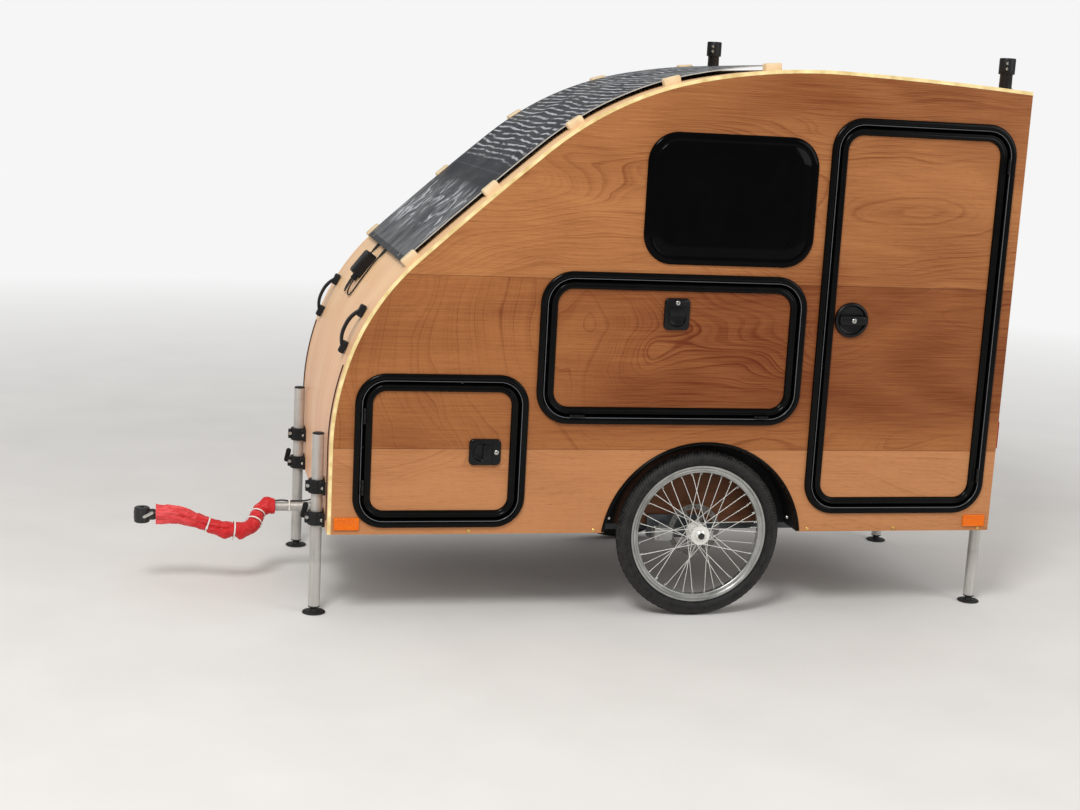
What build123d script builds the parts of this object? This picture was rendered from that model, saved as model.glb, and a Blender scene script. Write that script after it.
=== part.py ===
import os
from math import cos, pi, radians, sin, tan

from build123d import *

os.makedirs("parts", exist_ok=True)

# Teardrop camper trailer. Millimetres, +Z up, front towards -X, door side (near) at -Y.
# The origin is on the ground, under the middle of the whole trailer, which stands on its wheels and legs.

# Body box. Distances run back from the body's front edge, heights up from the ground
body_width = 950
body_length = 2031
axle_run = 1101
body_bottom = 265.5
wall = 18
skin = 10
floor_board = 15
rear_board = 18

# Outline of the side, front to back: distance, height
shoulder_height = 513
roof_stations = (
    (51, 789),
    (221, 1042),
    (582, 1365),
    (1000, 1575),
    (1449, 1620),
)
roof_rear_height = 1592
skin_joint_run = 590

# Wheels, 20 inch
wheel_inset = 35
tyre_width = 50
tyre_radius = 253
rim_radius = 210
rim_seat = 203
rim_bed = 187
rim_width = 26
rim_bed_width = 14
rim_flange = 2.6
tyre_fit = 0.3
hub_barrel = 16
hub_flange_radius = 29
hub_flange = 3
hub_flange_offset = 27
hub_inner_reach = 46
hub_outer_reach = 30
hub_cap_reach = 38
spoke_radius = 1.1
spoke_count = 36
spoke_hole_radius = 25.5
spoke_lead = 60
spoke_splay = 1.7
hub_cap_edge = (4, 6)
hub_cap_wall = 7
stub_radius = 7.5
stub_clearance = 0.05

# Brake at the inner end of each hub
disc_radius = 80
disc_ring = 16
disc_thickness = 2
disc_offset = 39
disc_arm = 9
disc_arms = 6
disc_slots = 24
disc_hole = 2.5
disc_carrier = 24
calliper_length = 58
calliper_height = 42
calliper_outer = 16
calliper_gap = 2
calliper_reach = 98
calliper_drop = 10
calliper_corner = 8

# Wheel arch, an arc about a point under the axle
arch_radius = 303
arch_drop = 25
arch_liner = 4
arch_trim = 9
arch_trim_proud = 6
wheel_box_depth = 82
wheel_box_board = 12

# Running gear under the floor
tube_side = 25
chassis_inset = 28
chassis_end_inset = 33
chassis_cross = (541, 1041, 1521)
axle_plate = 6
axle_plate_front = 142
axle_plate_rear = 34
axle_plate_drop = 30
axle_plate_rise = 42
axle_plate_clearance = 2
axle_plate_corner = 12

# Drawbar: its corners lie ahead of the body's front, towards the near side and below the straight stretch
drawbar_radius = 14
drawbar_start = 561
drawbar_corners = ((167, 0, 0), (204, 84, 52), (297, 90, 44), (419, 90, 0), (491, 90, 0))
drawbar_corner_radii = (42, 46, 90, 120)
wrap_thickness = 7
wrap_start = 127
wrap_bare = 6
nose_reach = 549
coupling_height = 46
hitch_bore = 8
hitch_inset = 24
coupling_neck = 17

# Openings in the walls: distance of the rear edge, bottom, width, height, corner radius
opening_sizes = {
    "door": (1996, 322, 582, 1180, 95),
    "hatch": (1375, 592, 800, 442, 95),
    "locker": (555, 286, 497, 446, 88),
}
window_rear = 1378
window_bottom = 1061
window_width = 514
window_height = 376
window_corner = 88
window_lap = 24
window_proud = 12

# Door furniture
ring_width = 24
ring_proud = 12
leaf_gap = 5
rim_band = 19
ring_edge = 4
hinge_barrel = 4
hinge_pin = 1.8
hinge_clearance = 0.15
hinge_knuckle = 22
hinge_space = 0.6
hinge_web = 8
hinge_inset = 120

# Latches: all stand equally far out of the wall
latch_proud = 26
latch_plate_proud = 9
round_latch_radius = 52
round_latch_ring = 12
round_latch_centre = (1518, 912)
round_latch_bar = (84, 27)
paddle_plate = (76, 92)
paddle_corner = 16
paddle_lip = (44, 20)
paddle_lip_corner = 7
paddle_lip_drop = 18
hatch_latch_centre = (978, 918)
locker_latch_centre = (433, 508)

# Legs: a tube that slides in two clamps on the front or rear wall
leg_inset = 115
leg_offset = 21
leg_radius = 17
leg_wall = 2
leg_fit = 0.4
leg_travel = 230
leg_raised_top = 764
clamp_radius = 26
clamp_height = 40
clamp_heights = (287, 381)
clamp_plate = (8, 84)
foot_radius = 34
foot_rim = 4
foot_neck = 11
foot_height = 22

# Solar panel on cleats, along the skin from the shoulder
panel_start = 560
panel_end = 1806
panel_inset = 70
panel_gap = 12
panel_thickness = 3
cleat_start = 583
cleat_step = 300
cleat_count = 5
cleat_size = (50, 34, 21)
cleat_corner = 6
cleat_seat = 2

# Supply cables with their box and glands; each bend takes this share of its shorter straight
cable_radius = 2.5
cable_bend_share = 0.45
entry_box_drop = 76
entry_box_y = 65
entry_box = (84, 66, 34)
entry_box_corner = 12
entry_gland_radius = 8
entry_gland_length = 22
panel_gland_radius = 5
panel_gland_length = 36
# Route of each cable from the panel to the box: distance below the panel, distance from the box's
# middle towards the cable's own side, height over the skin
cable_routes = {
    "near": (
        (29, 85, 6),
        (55, 85, 6),
        (85, 83, 4),
        (119, 84, 4),
        (156, 85, 4.5),
        (176, 65, 4.5),
        (176, 37, 7),
        (156, 17, 11),
        (130, 17, 11),
    ),
    "far": (
        (29, 85, 6),
        (55, 85, 6),
        (85, 87, 4),
        (119, 86, 4),
        (156, 85, 4.5),
        (176, 65, 4.5),
        (176, 37, 7),
        (156, 17, 11),
        (130, 17, 11),
    ),
}
# Lamp cable from the chassis along the drawbar into the padding: its first stretch and both ends' heights
# over the bar's middle, then distance ahead of the body's front, distance to the far side, height
bar_cable_lead = 22.5
bar_cable_start = 26.5
bar_cable_end = 17.5
bar_cable_route = (
    (30, -1.5, 18),
    (60, 1, 17),
    (88, -1, 17),
    (106, 0, 21),
)

# Grab handles on the front skin
handle_run = 331
handle_span = 115
handle_inset = 100
handle_block = (36, 30, 16)
handle_strap = 7
handle_bow = 34

# Sockets for poles on the roof: length along the skin from the shoulder, y
pole_sockets = ((2541, -375), (1866, 375))
pole_socket_radius = 24
pole_socket_bore = 15
pole_socket_depth = 80
pole_socket_height = 94

# Lamps and reflectors: width, height, proud
reflector = (72, 36, 7)
reflector_corner = 4
reflector_height = 297
reflector_front = 8
reflector_rear = 16
lamp = (60, 96, 22)
lamp_corner = 10
lamp_inset = 55
lamp_height = 560

# Derived places
half_width = body_width / 2
front_x = (nose_reach - body_length - leg_offset - foot_radius) / 2
rear_x = front_x + body_length
axle_x = front_x + axle_run
inner_y = half_width - wall
wheel_centre_y = half_width - wheel_inset
wheel_box_y = wheel_centre_y - wheel_box_depth
chassis_y = wheel_box_y - chassis_inset
panel_width = body_width - 2 * panel_inset
axle_z = tyre_radius
arch_centre_z = axle_z - arch_drop
ring_face = half_width + ring_proud
pivot_y = ring_face + hinge_barrel
drawbar_z = body_bottom - tube_side - drawbar_radius
leg_y = half_width - leg_inset
leg_length = leg_raised_top - leg_travel - foot_height


def side_plane(y):
    return Plane.XZ.offset(-y)


with BuildLine() as roof_line:
    station, heading = Vector(front_x, shoulder_height), Vector(0, 1)
    for distance, height in roof_stations + ((body_length, roof_rear_height),):
        arc = TangentArc(station, (front_x + distance, height), tangent=heading)
        station, heading = arc @ 1, arc % 1
roof_curve = roof_line.wire()


def body_outline(y, grow=0):
    """Outline of the body's side at one y, grown outwards."""
    with BuildSketch(side_plane(y)) as face:
        with BuildLine():
            add(roof_curve)
            Polyline(
                (rear_x, roof_rear_height),
                (rear_x, body_bottom),
                (front_x, body_bottom),
                (front_x, shoulder_height),
            )
        make_face()
        if grow:
            offset(amount=grow, kind=Kind.INTERSECTION)
    return face.sketch


def on_skin(run, across):
    """Plane on the outer face of the skin: x up the slope, z outwards."""
    point = roof_curve.position_at(run, position_mode=PositionMode.LENGTH)
    slope = roof_curve.tangent_at(run, position_mode=PositionMode.LENGTH)
    outward = Vector(-slope.Y, 0, slope.X)
    origin = Vector(point.X, across, point.Y) + outward * skin
    return Plane(origin=origin, x_dir=Vector(slope.X, 0, slope.Y), z_dir=outward)


def cut_plane(run):
    place = on_skin(run, 0)
    return Plane(origin=place.origin, x_dir=(0, 1, 0), z_dir=place.x_dir)


def opening_face(y, name, inset):
    """Rounded outline of a door's frame, taken in by a distance."""
    rear, bottom, width, height, corner = opening_sizes[name]
    centre = (front_x + rear - width / 2, bottom + height / 2)
    with BuildSketch(side_plane(y)) as face:
        with Locations(centre):
            RectangleRounded(width - 2 * inset, height - 2 * inset, corner - inset)
    return face.sketch


def window_face(y, inset):
    centre = (front_x + window_rear - window_width / 2, window_bottom + window_height / 2)
    with BuildSketch(side_plane(y)) as face:
        with Locations(centre):
            RectangleRounded(window_width - 2 * inset, window_height - 2 * inset, window_corner - inset)
    return face.sketch


def arch_face(y, radius):
    with BuildSketch(side_plane(y)) as face:
        with Locations((axle_x, arch_centre_z)):
            Circle(radius)
    return face.sketch


# Side walls: one board each, openings and arch cut through
for side_name, side in (("near", -1), ("far", 1)):
    outer_y = side * half_width
    top_y = max(outer_y, side * inner_y)
    names = ("door", "hatch", "locker") if side < 0 else ("locker",)
    with BuildPart() as side_wall:
        extrude(body_outline(top_y), amount=wall)
        for name in names:
            extrude(opening_face(top_y, name, ring_width), amount=wall, mode=Mode.SUBTRACT)
        extrude(window_face(top_y, window_lap), amount=wall, mode=Mode.SUBTRACT)
        extrude(arch_face(top_y, arch_radius), amount=wall, mode=Mode.SUBTRACT)
    side_wall.part.label = f"side_wall_{side_name}"
    export_step(side_wall.part, f"parts/side_wall_{side_name}.step")

# Floor board between the walls, notched for the wheels
with BuildPart() as floor_panel:
    with BuildSketch(Plane.XY.offset(body_bottom)):
        with Locations(((front_x + rear_x) / 2, 0)):
            Rectangle(rear_x - front_x, 2 * inner_y)
        with Locations((axle_x, (inner_y + wheel_box_y) / 2), (axle_x, -(inner_y + wheel_box_y) / 2)):
            Rectangle(2 * (arch_radius + arch_liner), inner_y - wheel_box_y, mode=Mode.SUBTRACT)
    extrude(amount=floor_board)
floor_panel.part.label = "floor_panel"
export_step(floor_panel.part, "parts/floor_panel.step")

# Skin bent over the side walls, in a front and a roof sheet
for sheet_name, keep in (("front_skin", Keep.BOTTOM), ("roof_skin", Keep.TOP)):
    with BuildPart() as sheet:
        extrude(body_outline(half_width, skin), amount=body_width)
        extrude(body_outline(half_width), amount=body_width, mode=Mode.SUBTRACT)
        split(bisect_by=Plane.XY.offset(body_bottom), keep=Keep.TOP)
        split(bisect_by=Plane.YZ.offset(rear_x), keep=Keep.BOTTOM)
        split(bisect_by=cut_plane(skin_joint_run), keep=keep)
    sheet.part.label = sheet_name
    export_step(sheet.part, f"parts/{sheet_name}.step")

# Rear wall between the side walls, under the roof sheet
with BuildPart() as rear_wall:
    extrude(body_outline(inner_y), amount=2 * inner_y)
    split(bisect_by=Plane.YZ.offset(rear_x - rear_board), keep=Keep.TOP)
    split(bisect_by=Plane.XY.offset(body_bottom + floor_board), keep=Keep.TOP)
rear_wall.part.label = "rear_wall"
export_step(rear_wall.part, "parts/rear_wall.step")

# Wheel boxes: an upright board inside each wheel and a black liner bent over it
with BuildPart() as wheel_boxes:
    for top_y in (-wheel_box_y, wheel_box_y + wheel_box_board):
        extrude(arch_face(top_y, arch_radius), amount=wheel_box_board)
    split(bisect_by=Plane.XY.offset(body_bottom), keep=Keep.TOP)
wheel_boxes.part.label = "wheel_boxes"
export_step(wheel_boxes.part, "parts/wheel_boxes.step")

with BuildPart() as arch_liners:
    for top_y in (-wheel_box_y, inner_y):
        extrude(arch_face(top_y, arch_radius + arch_liner), amount=inner_y - wheel_box_y)
        extrude(arch_face(top_y, arch_radius), amount=inner_y - wheel_box_y, mode=Mode.SUBTRACT)
    split(bisect_by=Plane.XY.offset(body_bottom), keep=Keep.TOP)
arch_liners.part.label = "arch_liners"
export_step(arch_liners.part, "parts/arch_liners.step")

with BuildPart() as arch_trims:
    for top_y in (-half_width, half_width + arch_trim_proud):
        extrude(arch_face(top_y, arch_radius + arch_trim), amount=arch_trim_proud)
        extrude(arch_face(top_y, arch_radius), amount=arch_trim_proud, mode=Mode.SUBTRACT)
    split(bisect_by=Plane.XY.offset(body_bottom), keep=Keep.TOP)
arch_trims.part.label = "arch_trims"
export_step(arch_trims.part, "parts/arch_trims.step")

# Chassis of square tube, joined by cross tubes
with BuildPart() as chassis:
    with BuildSketch(Plane.XY.offset(body_bottom - tube_side)):
        with Locations(((front_x + rear_x) / 2, chassis_y), ((front_x + rear_x) / 2, -chassis_y)):
            Rectangle(rear_x - front_x, tube_side)
        for cross in (chassis_end_inset, *chassis_cross, body_length - chassis_end_inset):
            with Locations((front_x + cross, 0)):
                Rectangle(tube_side, 2 * chassis_y)
    extrude(amount=tube_side)
chassis.part.label = "chassis"
export_step(chassis.part, "parts/chassis.step")

# Axle: a cross tube with a brake plate and a stub at each end
plate_start_y = wheel_box_y + wheel_box_board + axle_plate_clearance
with BuildPart() as axle:
    with BuildSketch(Plane.XY.offset(body_bottom - tube_side)):
        with Locations((axle_x, 0)):
            Rectangle(tube_side, 2 * chassis_y - tube_side)
        for side in (-1, 1):
            beam_end = (chassis_y + tube_side / 2 + plate_start_y) / 2
            with Locations((axle_x, side * beam_end)):
                Rectangle(tube_side, plate_start_y - chassis_y - tube_side / 2)
    extrude(amount=tube_side)
    for side in (-1, 1):
        with BuildSketch(side_plane(side * plate_start_y + (axle_plate if side > 0 else 0))):
            with Locations((axle_x + (axle_plate_rear - axle_plate_front) / 2,
                            axle_z + (axle_plate_rise - axle_plate_drop) / 2)):
                RectangleRounded(axle_plate_rear + axle_plate_front, axle_plate_rise + axle_plate_drop,
                                 axle_plate_corner)
        extrude(amount=axle_plate)
        stub_end = wheel_centre_y + hub_outer_reach
        stub_start = chassis_y + tube_side
        with BuildSketch(side_plane(side * stub_end if side > 0 else -stub_start)):
            with Locations((axle_x, axle_z)):
                Circle(stub_radius)
        extrude(amount=stub_end - stub_start)
axle.part.label = "axle"
export_step(axle.part, "parts/axle.step")

# Drawbar under the floor, bent down and to the near side ahead of the body
bar_points = [(front_x + drawbar_start, 0, drawbar_z)]
bar_points += [(front_x - ahead, -across, drawbar_z - drop) for ahead, across, drop in drawbar_corners]
with BuildLine() as bar_line:
    FilletPolyline(*bar_points, radius=list(drawbar_corner_radii))
bar_path = bar_line.wire()
with BuildPart() as drawbar:
    with BuildSketch(Plane(origin=bar_points[0], x_dir=(0, 1, 0), z_dir=(-1, 0, 0))):
        Circle(drawbar_radius)
    sweep(path=bar_path)
drawbar.part.label = "drawbar"
export_step(drawbar.part, "parts/drawbar.step")

# Padding wrapped round the drawbar's bent end
wrap_points = [(front_x - wrap_start, 0, drawbar_z)] + bar_points[1:-1]
wrap_points += [(bar_points[-1][0] + wrap_bare, bar_points[-1][1], bar_points[-1][2])]
with BuildLine() as wrap_line:
    FilletPolyline(*wrap_points, radius=list(drawbar_corner_radii))
with BuildPart() as drawbar_wrap:
    with BuildSketch(Plane(origin=wrap_points[0], x_dir=(0, 1, 0), z_dir=(-1, 0, 0))):
        Circle(drawbar_radius + wrap_thickness)
        Circle(drawbar_radius, mode=Mode.SUBTRACT)
    sweep(path=wrap_line.wire())
drawbar_wrap.part.label = "drawbar_wrap"
export_step(drawbar_wrap.part, "parts/drawbar_wrap.step")

# Coupling head with an upright hitch bore
tip = Vector(*bar_points[-1])
hitch_x = front_x - nose_reach + hitch_inset
with BuildPart() as coupling:
    with BuildSketch(Plane(origin=tip, x_dir=(0, 1, 0), z_dir=(-1, 0, 0))):
        Circle(coupling_neck)
    extrude(amount=tip.X - hitch_x)
    with BuildSketch(Plane.XY.offset(tip.Z - coupling_height / 2)):
        with Locations((hitch_x, tip.Y)):
            Circle(hitch_inset)
    extrude(amount=coupling_height)
    with BuildSketch(Plane.XY.offset(tip.Z - coupling_height / 2)):
        with Locations((hitch_x, tip.Y)):
            Circle(hitch_bore)
    extrude(amount=coupling_height, mode=Mode.SUBTRACT)
coupling.part.label = "coupling"
export_step(coupling.part, "parts/coupling.step")
hitch_place = (round(hitch_x, 3), tip.Y, round(tip.Z, 3))

# Window panes, one on each wall, lapping its opening
with BuildPart() as windows:
    for top_y in (-half_width, half_width + window_proud):
        extrude(window_face(top_y, 0), amount=window_proud)
    fillet(windows.faces().filter_by(Axis.Y).sort_by(Axis.Y)[0].edges(), ring_edge)
    fillet(windows.faces().filter_by(Axis.Y).sort_by(Axis.Y)[-1].edges(), ring_edge)
windows.part.label = "windows"
export_step(windows.part, "parts/windows.step")


# Doors: a ring on the wall, a leaf in the opening, a rim on the leaf and a latch through it
def hinge_places(name):
    """Hinge edge of an opening: pivot x and z, direction of the pin and the two knuckle centres."""
    rear, bottom, width, height = opening_sizes[name][:4]
    gap_centre = ring_width + leaf_gap / 2
    left = front_x + rear - width
    if name == "hatch":
        middle = left + width / 2
        reach = width / 2 - hinge_inset
        return bottom + gap_centre, [middle - reach, middle + reach]
    middle = bottom + height / 2
    reach = height / 2 - hinge_inset
    pivot = left + gap_centre if name == "locker" else front_x + rear - gap_centre
    return pivot, [middle - reach, middle + reach]


def hinge_plane(name, side, along):
    """Plane across the hinge pin at a place along it: x towards the fixed ring, y out of the wall."""
    pivot, places = hinge_places(name)
    if name == "hatch":
        return Plane(origin=(along, side * pivot_y, pivot), x_dir=(0, 0, -1), z_dir=(side, 0, 0))
    towards = -1 if name == "locker" else 1
    return Plane(origin=(pivot, side * pivot_y, along), x_dir=(towards, 0, 0), z_dir=(0, 0, towards * side))


def barrel_profile(plane, reach, bore):
    """Round barrel about the pin with a web that reaches to one side, down to the ring's face."""
    with BuildSketch(plane) as face:
        Circle(hinge_barrel)
        with Locations((reach / 2, -hinge_barrel / 2)):
            Rectangle(abs(reach), hinge_barrel)
        if bore:
            Circle(bore, mode=Mode.SUBTRACT)
    return face.sketch


doors = (("door", "near", -1), ("hatch", "near", -1), ("locker", "near", -1), ("locker", "far", 1))
for name, side_name, side in doors:
    label = f"{name}_{side_name}" if name == "locker" else name
    wall_y = side * half_width
    proud_y = max(wall_y, side * ring_face)
    pivot, places = hinge_places(name)
    span = hinge_knuckle / 2 + hinge_space
    with BuildPart() as ring:
        extrude(opening_face(proud_y, name, 0), amount=ring_proud)
        extrude(opening_face(proud_y, name, ring_width), amount=ring_proud, mode=Mode.SUBTRACT)
        outer_face = ring.faces().filter_by(Axis.Y).sort_by(Axis.Y)[0 if side < 0 else -1]
        fillet(outer_face.edges(), ring_edge)
        for place in places:
            for start in (-span - hinge_knuckle / 2, span):
                extrude(barrel_profile(hinge_plane(name, side, place).offset(start), hinge_web, 0),
                        amount=hinge_knuckle / 2)
            with BuildSketch(hinge_plane(name, side, place).offset(-span)):
                Circle(hinge_pin)
            extrude(amount=2 * span)
    ring.part.label = f"{label}_ring"
    export_step(ring.part, f"parts/{label}_ring.step")

    leaf_inset = ring_width + leaf_gap
    leaf_top = max(wall_y, side * inner_y)
    with BuildPart() as leaf:
        extrude(opening_face(leaf_top, name, leaf_inset), amount=wall)
    leaf.part.label = f"{label}_leaf"
    export_step(leaf.part, f"parts/{label}_leaf.step")

    with BuildPart() as rim:
        extrude(opening_face(proud_y, name, leaf_inset), amount=ring_proud)
        extrude(opening_face(proud_y, name, leaf_inset + rim_band), amount=ring_proud, mode=Mode.SUBTRACT)
        outer_face = rim.faces().filter_by(Axis.Y).sort_by(Axis.Y)[0 if side < 0 else -1]
        fillet(outer_face.edges(), ring_edge)
        for place in places:
            start = hinge_plane(name, side, place).offset(-hinge_knuckle / 2)
            extrude(barrel_profile(start, -hinge_web, 0), amount=hinge_knuckle)
            with BuildSketch(start):
                Circle(hinge_pin + hinge_clearance)
            extrude(amount=hinge_knuckle, mode=Mode.SUBTRACT)
    rim.part.label = f"{label}_rim"
    export_step(rim.part, f"parts/{label}_rim.step")

    latch_y = max(wall_y, side * (half_width + latch_proud))
    plate_y = max(wall_y, side * (half_width + latch_plate_proud))
    with BuildPart() as latch:
        if name == "door":
            centre = (front_x + round_latch_centre[0], round_latch_centre[1])
            with BuildSketch(side_plane(plate_y)):
                with Locations(centre):
                    Circle(round_latch_radius)
            extrude(amount=latch_plate_proud)
            with BuildSketch(side_plane(latch_y)):
                with Locations(centre):
                    Circle(round_latch_radius)
                    Circle(round_latch_radius - round_latch_ring, mode=Mode.SUBTRACT)
                    Rectangle(*round_latch_bar)
            extrude(amount=latch_proud)
        else:
            upright = name == "hatch"
            place = hatch_latch_centre if upright else locker_latch_centre
            size = paddle_plate if upright else paddle_plate[::-1]
            lip = paddle_lip if upright else paddle_lip[::-1]
            shift = (0, -paddle_lip_drop) if upright else (-paddle_lip_drop, 0)
            with BuildSketch(side_plane(plate_y)):
                with Locations((front_x + place[0], place[1])):
                    RectangleRounded(*size, paddle_corner)
            extrude(amount=latch_plate_proud)
            with BuildSketch(side_plane(latch_y)):
                with Locations((front_x + place[0] + shift[0], place[1] + shift[1])):
                    RectangleRounded(*lip, paddle_lip_corner)
            extrude(amount=latch_proud)
    latch.part.label = f"{label}_latch"
    export_step(latch.part, f"parts/{label}_latch.step")

# Legs and their clamps on the front and rear walls
leg_rows = (
    ("front_near", -1, -1),
    ("front_far", -1, 1),
    ("rear_near", 1, -1),
    ("rear_far", 1, 1),
)
wall_faces = {-1: front_x - skin, 1: rear_x}
for leg_name, end, side in leg_rows:
    leg_x = wall_faces[end] + end * leg_offset
    with BuildPart() as leg:
        with BuildSketch(Plane.XY.offset(foot_height)):
            with Locations((leg_x, side * leg_y)):
                Circle(leg_radius)
                Circle(leg_radius - leg_wall, mode=Mode.SUBTRACT)
        extrude(amount=leg_length)
    leg.part.label = f"leg_{leg_name}"
    export_step(leg.part, f"parts/leg_{leg_name}.step")

    with BuildPart() as foot:
        with BuildSketch(Plane.XY):
            with Locations((leg_x, side * leg_y)):
                Circle(foot_radius)
        extrude(amount=foot_rim)
        with BuildSketch(Plane.XY.offset(foot_rim)):
            with Locations((leg_x, side * leg_y)):
                Circle(foot_neck)
        extrude(amount=foot_height - foot_rim)
        with BuildSketch(Plane.XY.offset(foot_height - foot_rim)):
            with Locations((leg_x, side * leg_y)):
                Circle(leg_radius)
        extrude(amount=foot_rim)
    foot.part.label = f"foot_{leg_name}"
    export_step(foot.part, f"parts/foot_{leg_name}.step")

with BuildPart() as leg_clamps:
    for leg_name, end, side in leg_rows:
        leg_x = wall_faces[end] + end * leg_offset
        for clamp_z in clamp_heights:
            with BuildSketch(Plane.XY.offset(clamp_z - clamp_height / 2)):
                with Locations((leg_x, side * leg_y)):
                    Circle(clamp_radius)
                with Locations((wall_faces[end] + end * clamp_plate[0] / 2, side * leg_y)):
                    Rectangle(*clamp_plate)
                with Locations((leg_x, side * leg_y)):
                    Circle(leg_radius + leg_fit, mode=Mode.SUBTRACT)
                with Locations((wall_faces[end] - end * clamp_radius, side * leg_y)):
                    Rectangle(2 * clamp_radius, 4 * clamp_radius, mode=Mode.SUBTRACT)
            extrude(amount=clamp_height)
leg_clamps.part.label = "leg_clamps"
export_step(leg_clamps.part, "parts/leg_clamps.step")

# Flexible solar panel, held off the skin by cleats along both edges
with BuildPart() as solar_panel:
    extrude(body_outline(panel_width / 2, skin + panel_gap + panel_thickness), amount=panel_width)
    extrude(body_outline(panel_width / 2, skin + panel_gap), amount=panel_width, mode=Mode.SUBTRACT)
    split(bisect_by=cut_plane(panel_start), keep=Keep.TOP)
    split(bisect_by=cut_plane(panel_end), keep=Keep.BOTTOM)
    split(bisect_by=Plane.XY.offset(shoulder_height), keep=Keep.TOP)
solar_panel.part.label = "solar_panel"
export_step(solar_panel.part, "parts/solar_panel.step")

cleat_y = (panel_width + cleat_size[1]) / 2
with BuildPart() as cleats:
    for cleat in range(cleat_count):
        for side in (-1, 1):
            with BuildSketch(on_skin(cleat_start + cleat * cleat_step, side * cleat_y).offset(-cleat_seat)):
                RectangleRounded(cleat_size[0], cleat_size[1], cleat_corner)
            extrude(amount=cleat_size[2] + cleat_seat)
    extrude(body_outline(half_width, skin), amount=body_width, mode=Mode.SUBTRACT)
cleats.part.label = "cleats"
export_step(cleats.part, "parts/cleats.step")

# Cables: a smooth tube along each route, and glands at both ends of the two that feed the entry box
cable_points = {}
for cable_name, route in cable_routes.items():
    side = -1 if cable_name == "near" else 1
    cable_points[f"cable_{cable_name}"] = [
        on_skin(panel_start - drop, entry_box_y + side * away).offset(above).origin
        for drop, away, above in route
    ]
chassis_face = front_x + chassis_end_inset - tube_side / 2
cable_points["drawbar_cable"] = [
    Vector(chassis_face, 0, drawbar_z + bar_cable_start),
    Vector(chassis_face - bar_cable_lead, 0, drawbar_z + bar_cable_start),
    *[Vector(front_x - ahead, across, drawbar_z + above) for ahead, across, above in bar_cable_route],
    Vector(front_x - wrap_start, 0, drawbar_z + bar_cable_end),
]
cable_ends = []
for cable_name, points in cable_points.items():
    runs = [b - a for a, b in zip(points, points[1:])]
    radii = []
    for before, after in zip(runs, runs[1:]):
        half_turn = radians(before.get_angle(after)) / 2
        radii.append(cable_bend_share * min(before.length, after.length) / tan(half_turn))
    print(cable_name, "radii:", [round(radius, 1) for radius in radii])
    with BuildLine() as cable_line:
        FilletPolyline(*points, radius=radii)
    with BuildPart() as cable:
        with BuildSketch(Plane(origin=points[0], z_dir=runs[0])):
            Circle(cable_radius)
        sweep(path=cable_line.wire())
    print(cable_name, "length:", round(cable_line.wire().length, 1),
          "from volume:", round(cable.part.volume / (pi * cable_radius**2), 1))
    cable.part.label = cable_name
    export_step(cable.part, f"parts/{cable_name}.step")
    if cable_name != "drawbar_cable":
        cable_ends.append((Plane(origin=points[0], z_dir=-runs[0]), Plane(origin=points[-1], z_dir=runs[-1])))

with BuildPart() as panel_glands:
    for panel_end_plane, box_end_plane in cable_ends:
        with BuildSketch(panel_end_plane):
            Circle(panel_gland_radius)
        extrude(amount=panel_gland_length)
    extrude(body_outline(half_width, skin + panel_gap), amount=body_width, mode=Mode.INTERSECT)
panel_glands.part.label = "panel_glands"
export_step(panel_glands.part, "parts/panel_glands.step")

with BuildPart() as cable_entry:
    with BuildSketch(on_skin(panel_start - entry_box_drop, entry_box_y).offset(-skin / 2)):
        RectangleRounded(entry_box[0], entry_box[1], entry_box_corner)
    extrude(amount=entry_box[2] + skin / 2)
    for panel_end_plane, box_end_plane in cable_ends:
        with BuildSketch(box_end_plane):
            Circle(entry_gland_radius)
        extrude(amount=entry_gland_length)
    extrude(body_outline(half_width, skin), amount=body_width, mode=Mode.SUBTRACT)
cable_entry.part.label = "cable_entry"
export_step(cable_entry.part, "parts/cable_entry.step")

# Grab handles on the front skin: two blocks with a strap bowed between them
with BuildPart() as grab_handles:
    for side in (-1, 1):
        place = on_skin(handle_run, side * (half_width - handle_inset) + handle_block[1] / 2)
        with BuildSketch(Plane(origin=place.origin, x_dir=place.x_dir, z_dir=(0, -1, 0))):
            with Locations((-handle_span / 2, 0), (handle_span / 2, 0)):
                Rectangle(handle_block[0], 2 * handle_block[2])
            with BuildLine():
                top = ThreePointArc(
                    (-handle_span / 2, handle_block[2]),
                    (0, handle_bow),
                    (handle_span / 2, handle_block[2]),
                )
                low = ThreePointArc(
                    (-handle_span / 2, handle_block[2] - handle_strap),
                    (0, handle_bow - handle_strap),
                    (handle_span / 2, handle_block[2] - handle_strap),
                )
                Line(top @ 0, low @ 0)
                Line(top @ 1, low @ 1)
            make_face()
        extrude(amount=handle_block[1])
    extrude(body_outline(half_width, skin), amount=body_width, mode=Mode.SUBTRACT)
grab_handles.part.label = "grab_handles"
export_step(grab_handles.part, "parts/grab_handles.step")

# Sockets for poles on the roof
with BuildPart() as sockets:
    for run, across in pole_sockets:
        seat = on_skin(run, across).origin
        with BuildSketch(Plane.XY.offset(seat.Z - skin)):
            with Locations((seat.X, across)):
                Circle(pole_socket_radius)
        extrude(amount=pole_socket_height + skin)
        with BuildSketch(Plane.XY.offset(seat.Z + pole_socket_height - pole_socket_depth)):
            with Locations((seat.X, across)):
                Circle(pole_socket_bore)
        extrude(amount=pole_socket_depth, mode=Mode.SUBTRACT)
    extrude(body_outline(half_width, skin), amount=body_width, mode=Mode.SUBTRACT)
sockets.part.label = "pole_sockets"
export_step(sockets.part, "parts/pole_sockets.step")
for run, across in pole_sockets:
    seat = on_skin(run, across).origin
    print("socket at", round(seat.X, 2), across, "top", round(seat.Z + pole_socket_height, 2))

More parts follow.
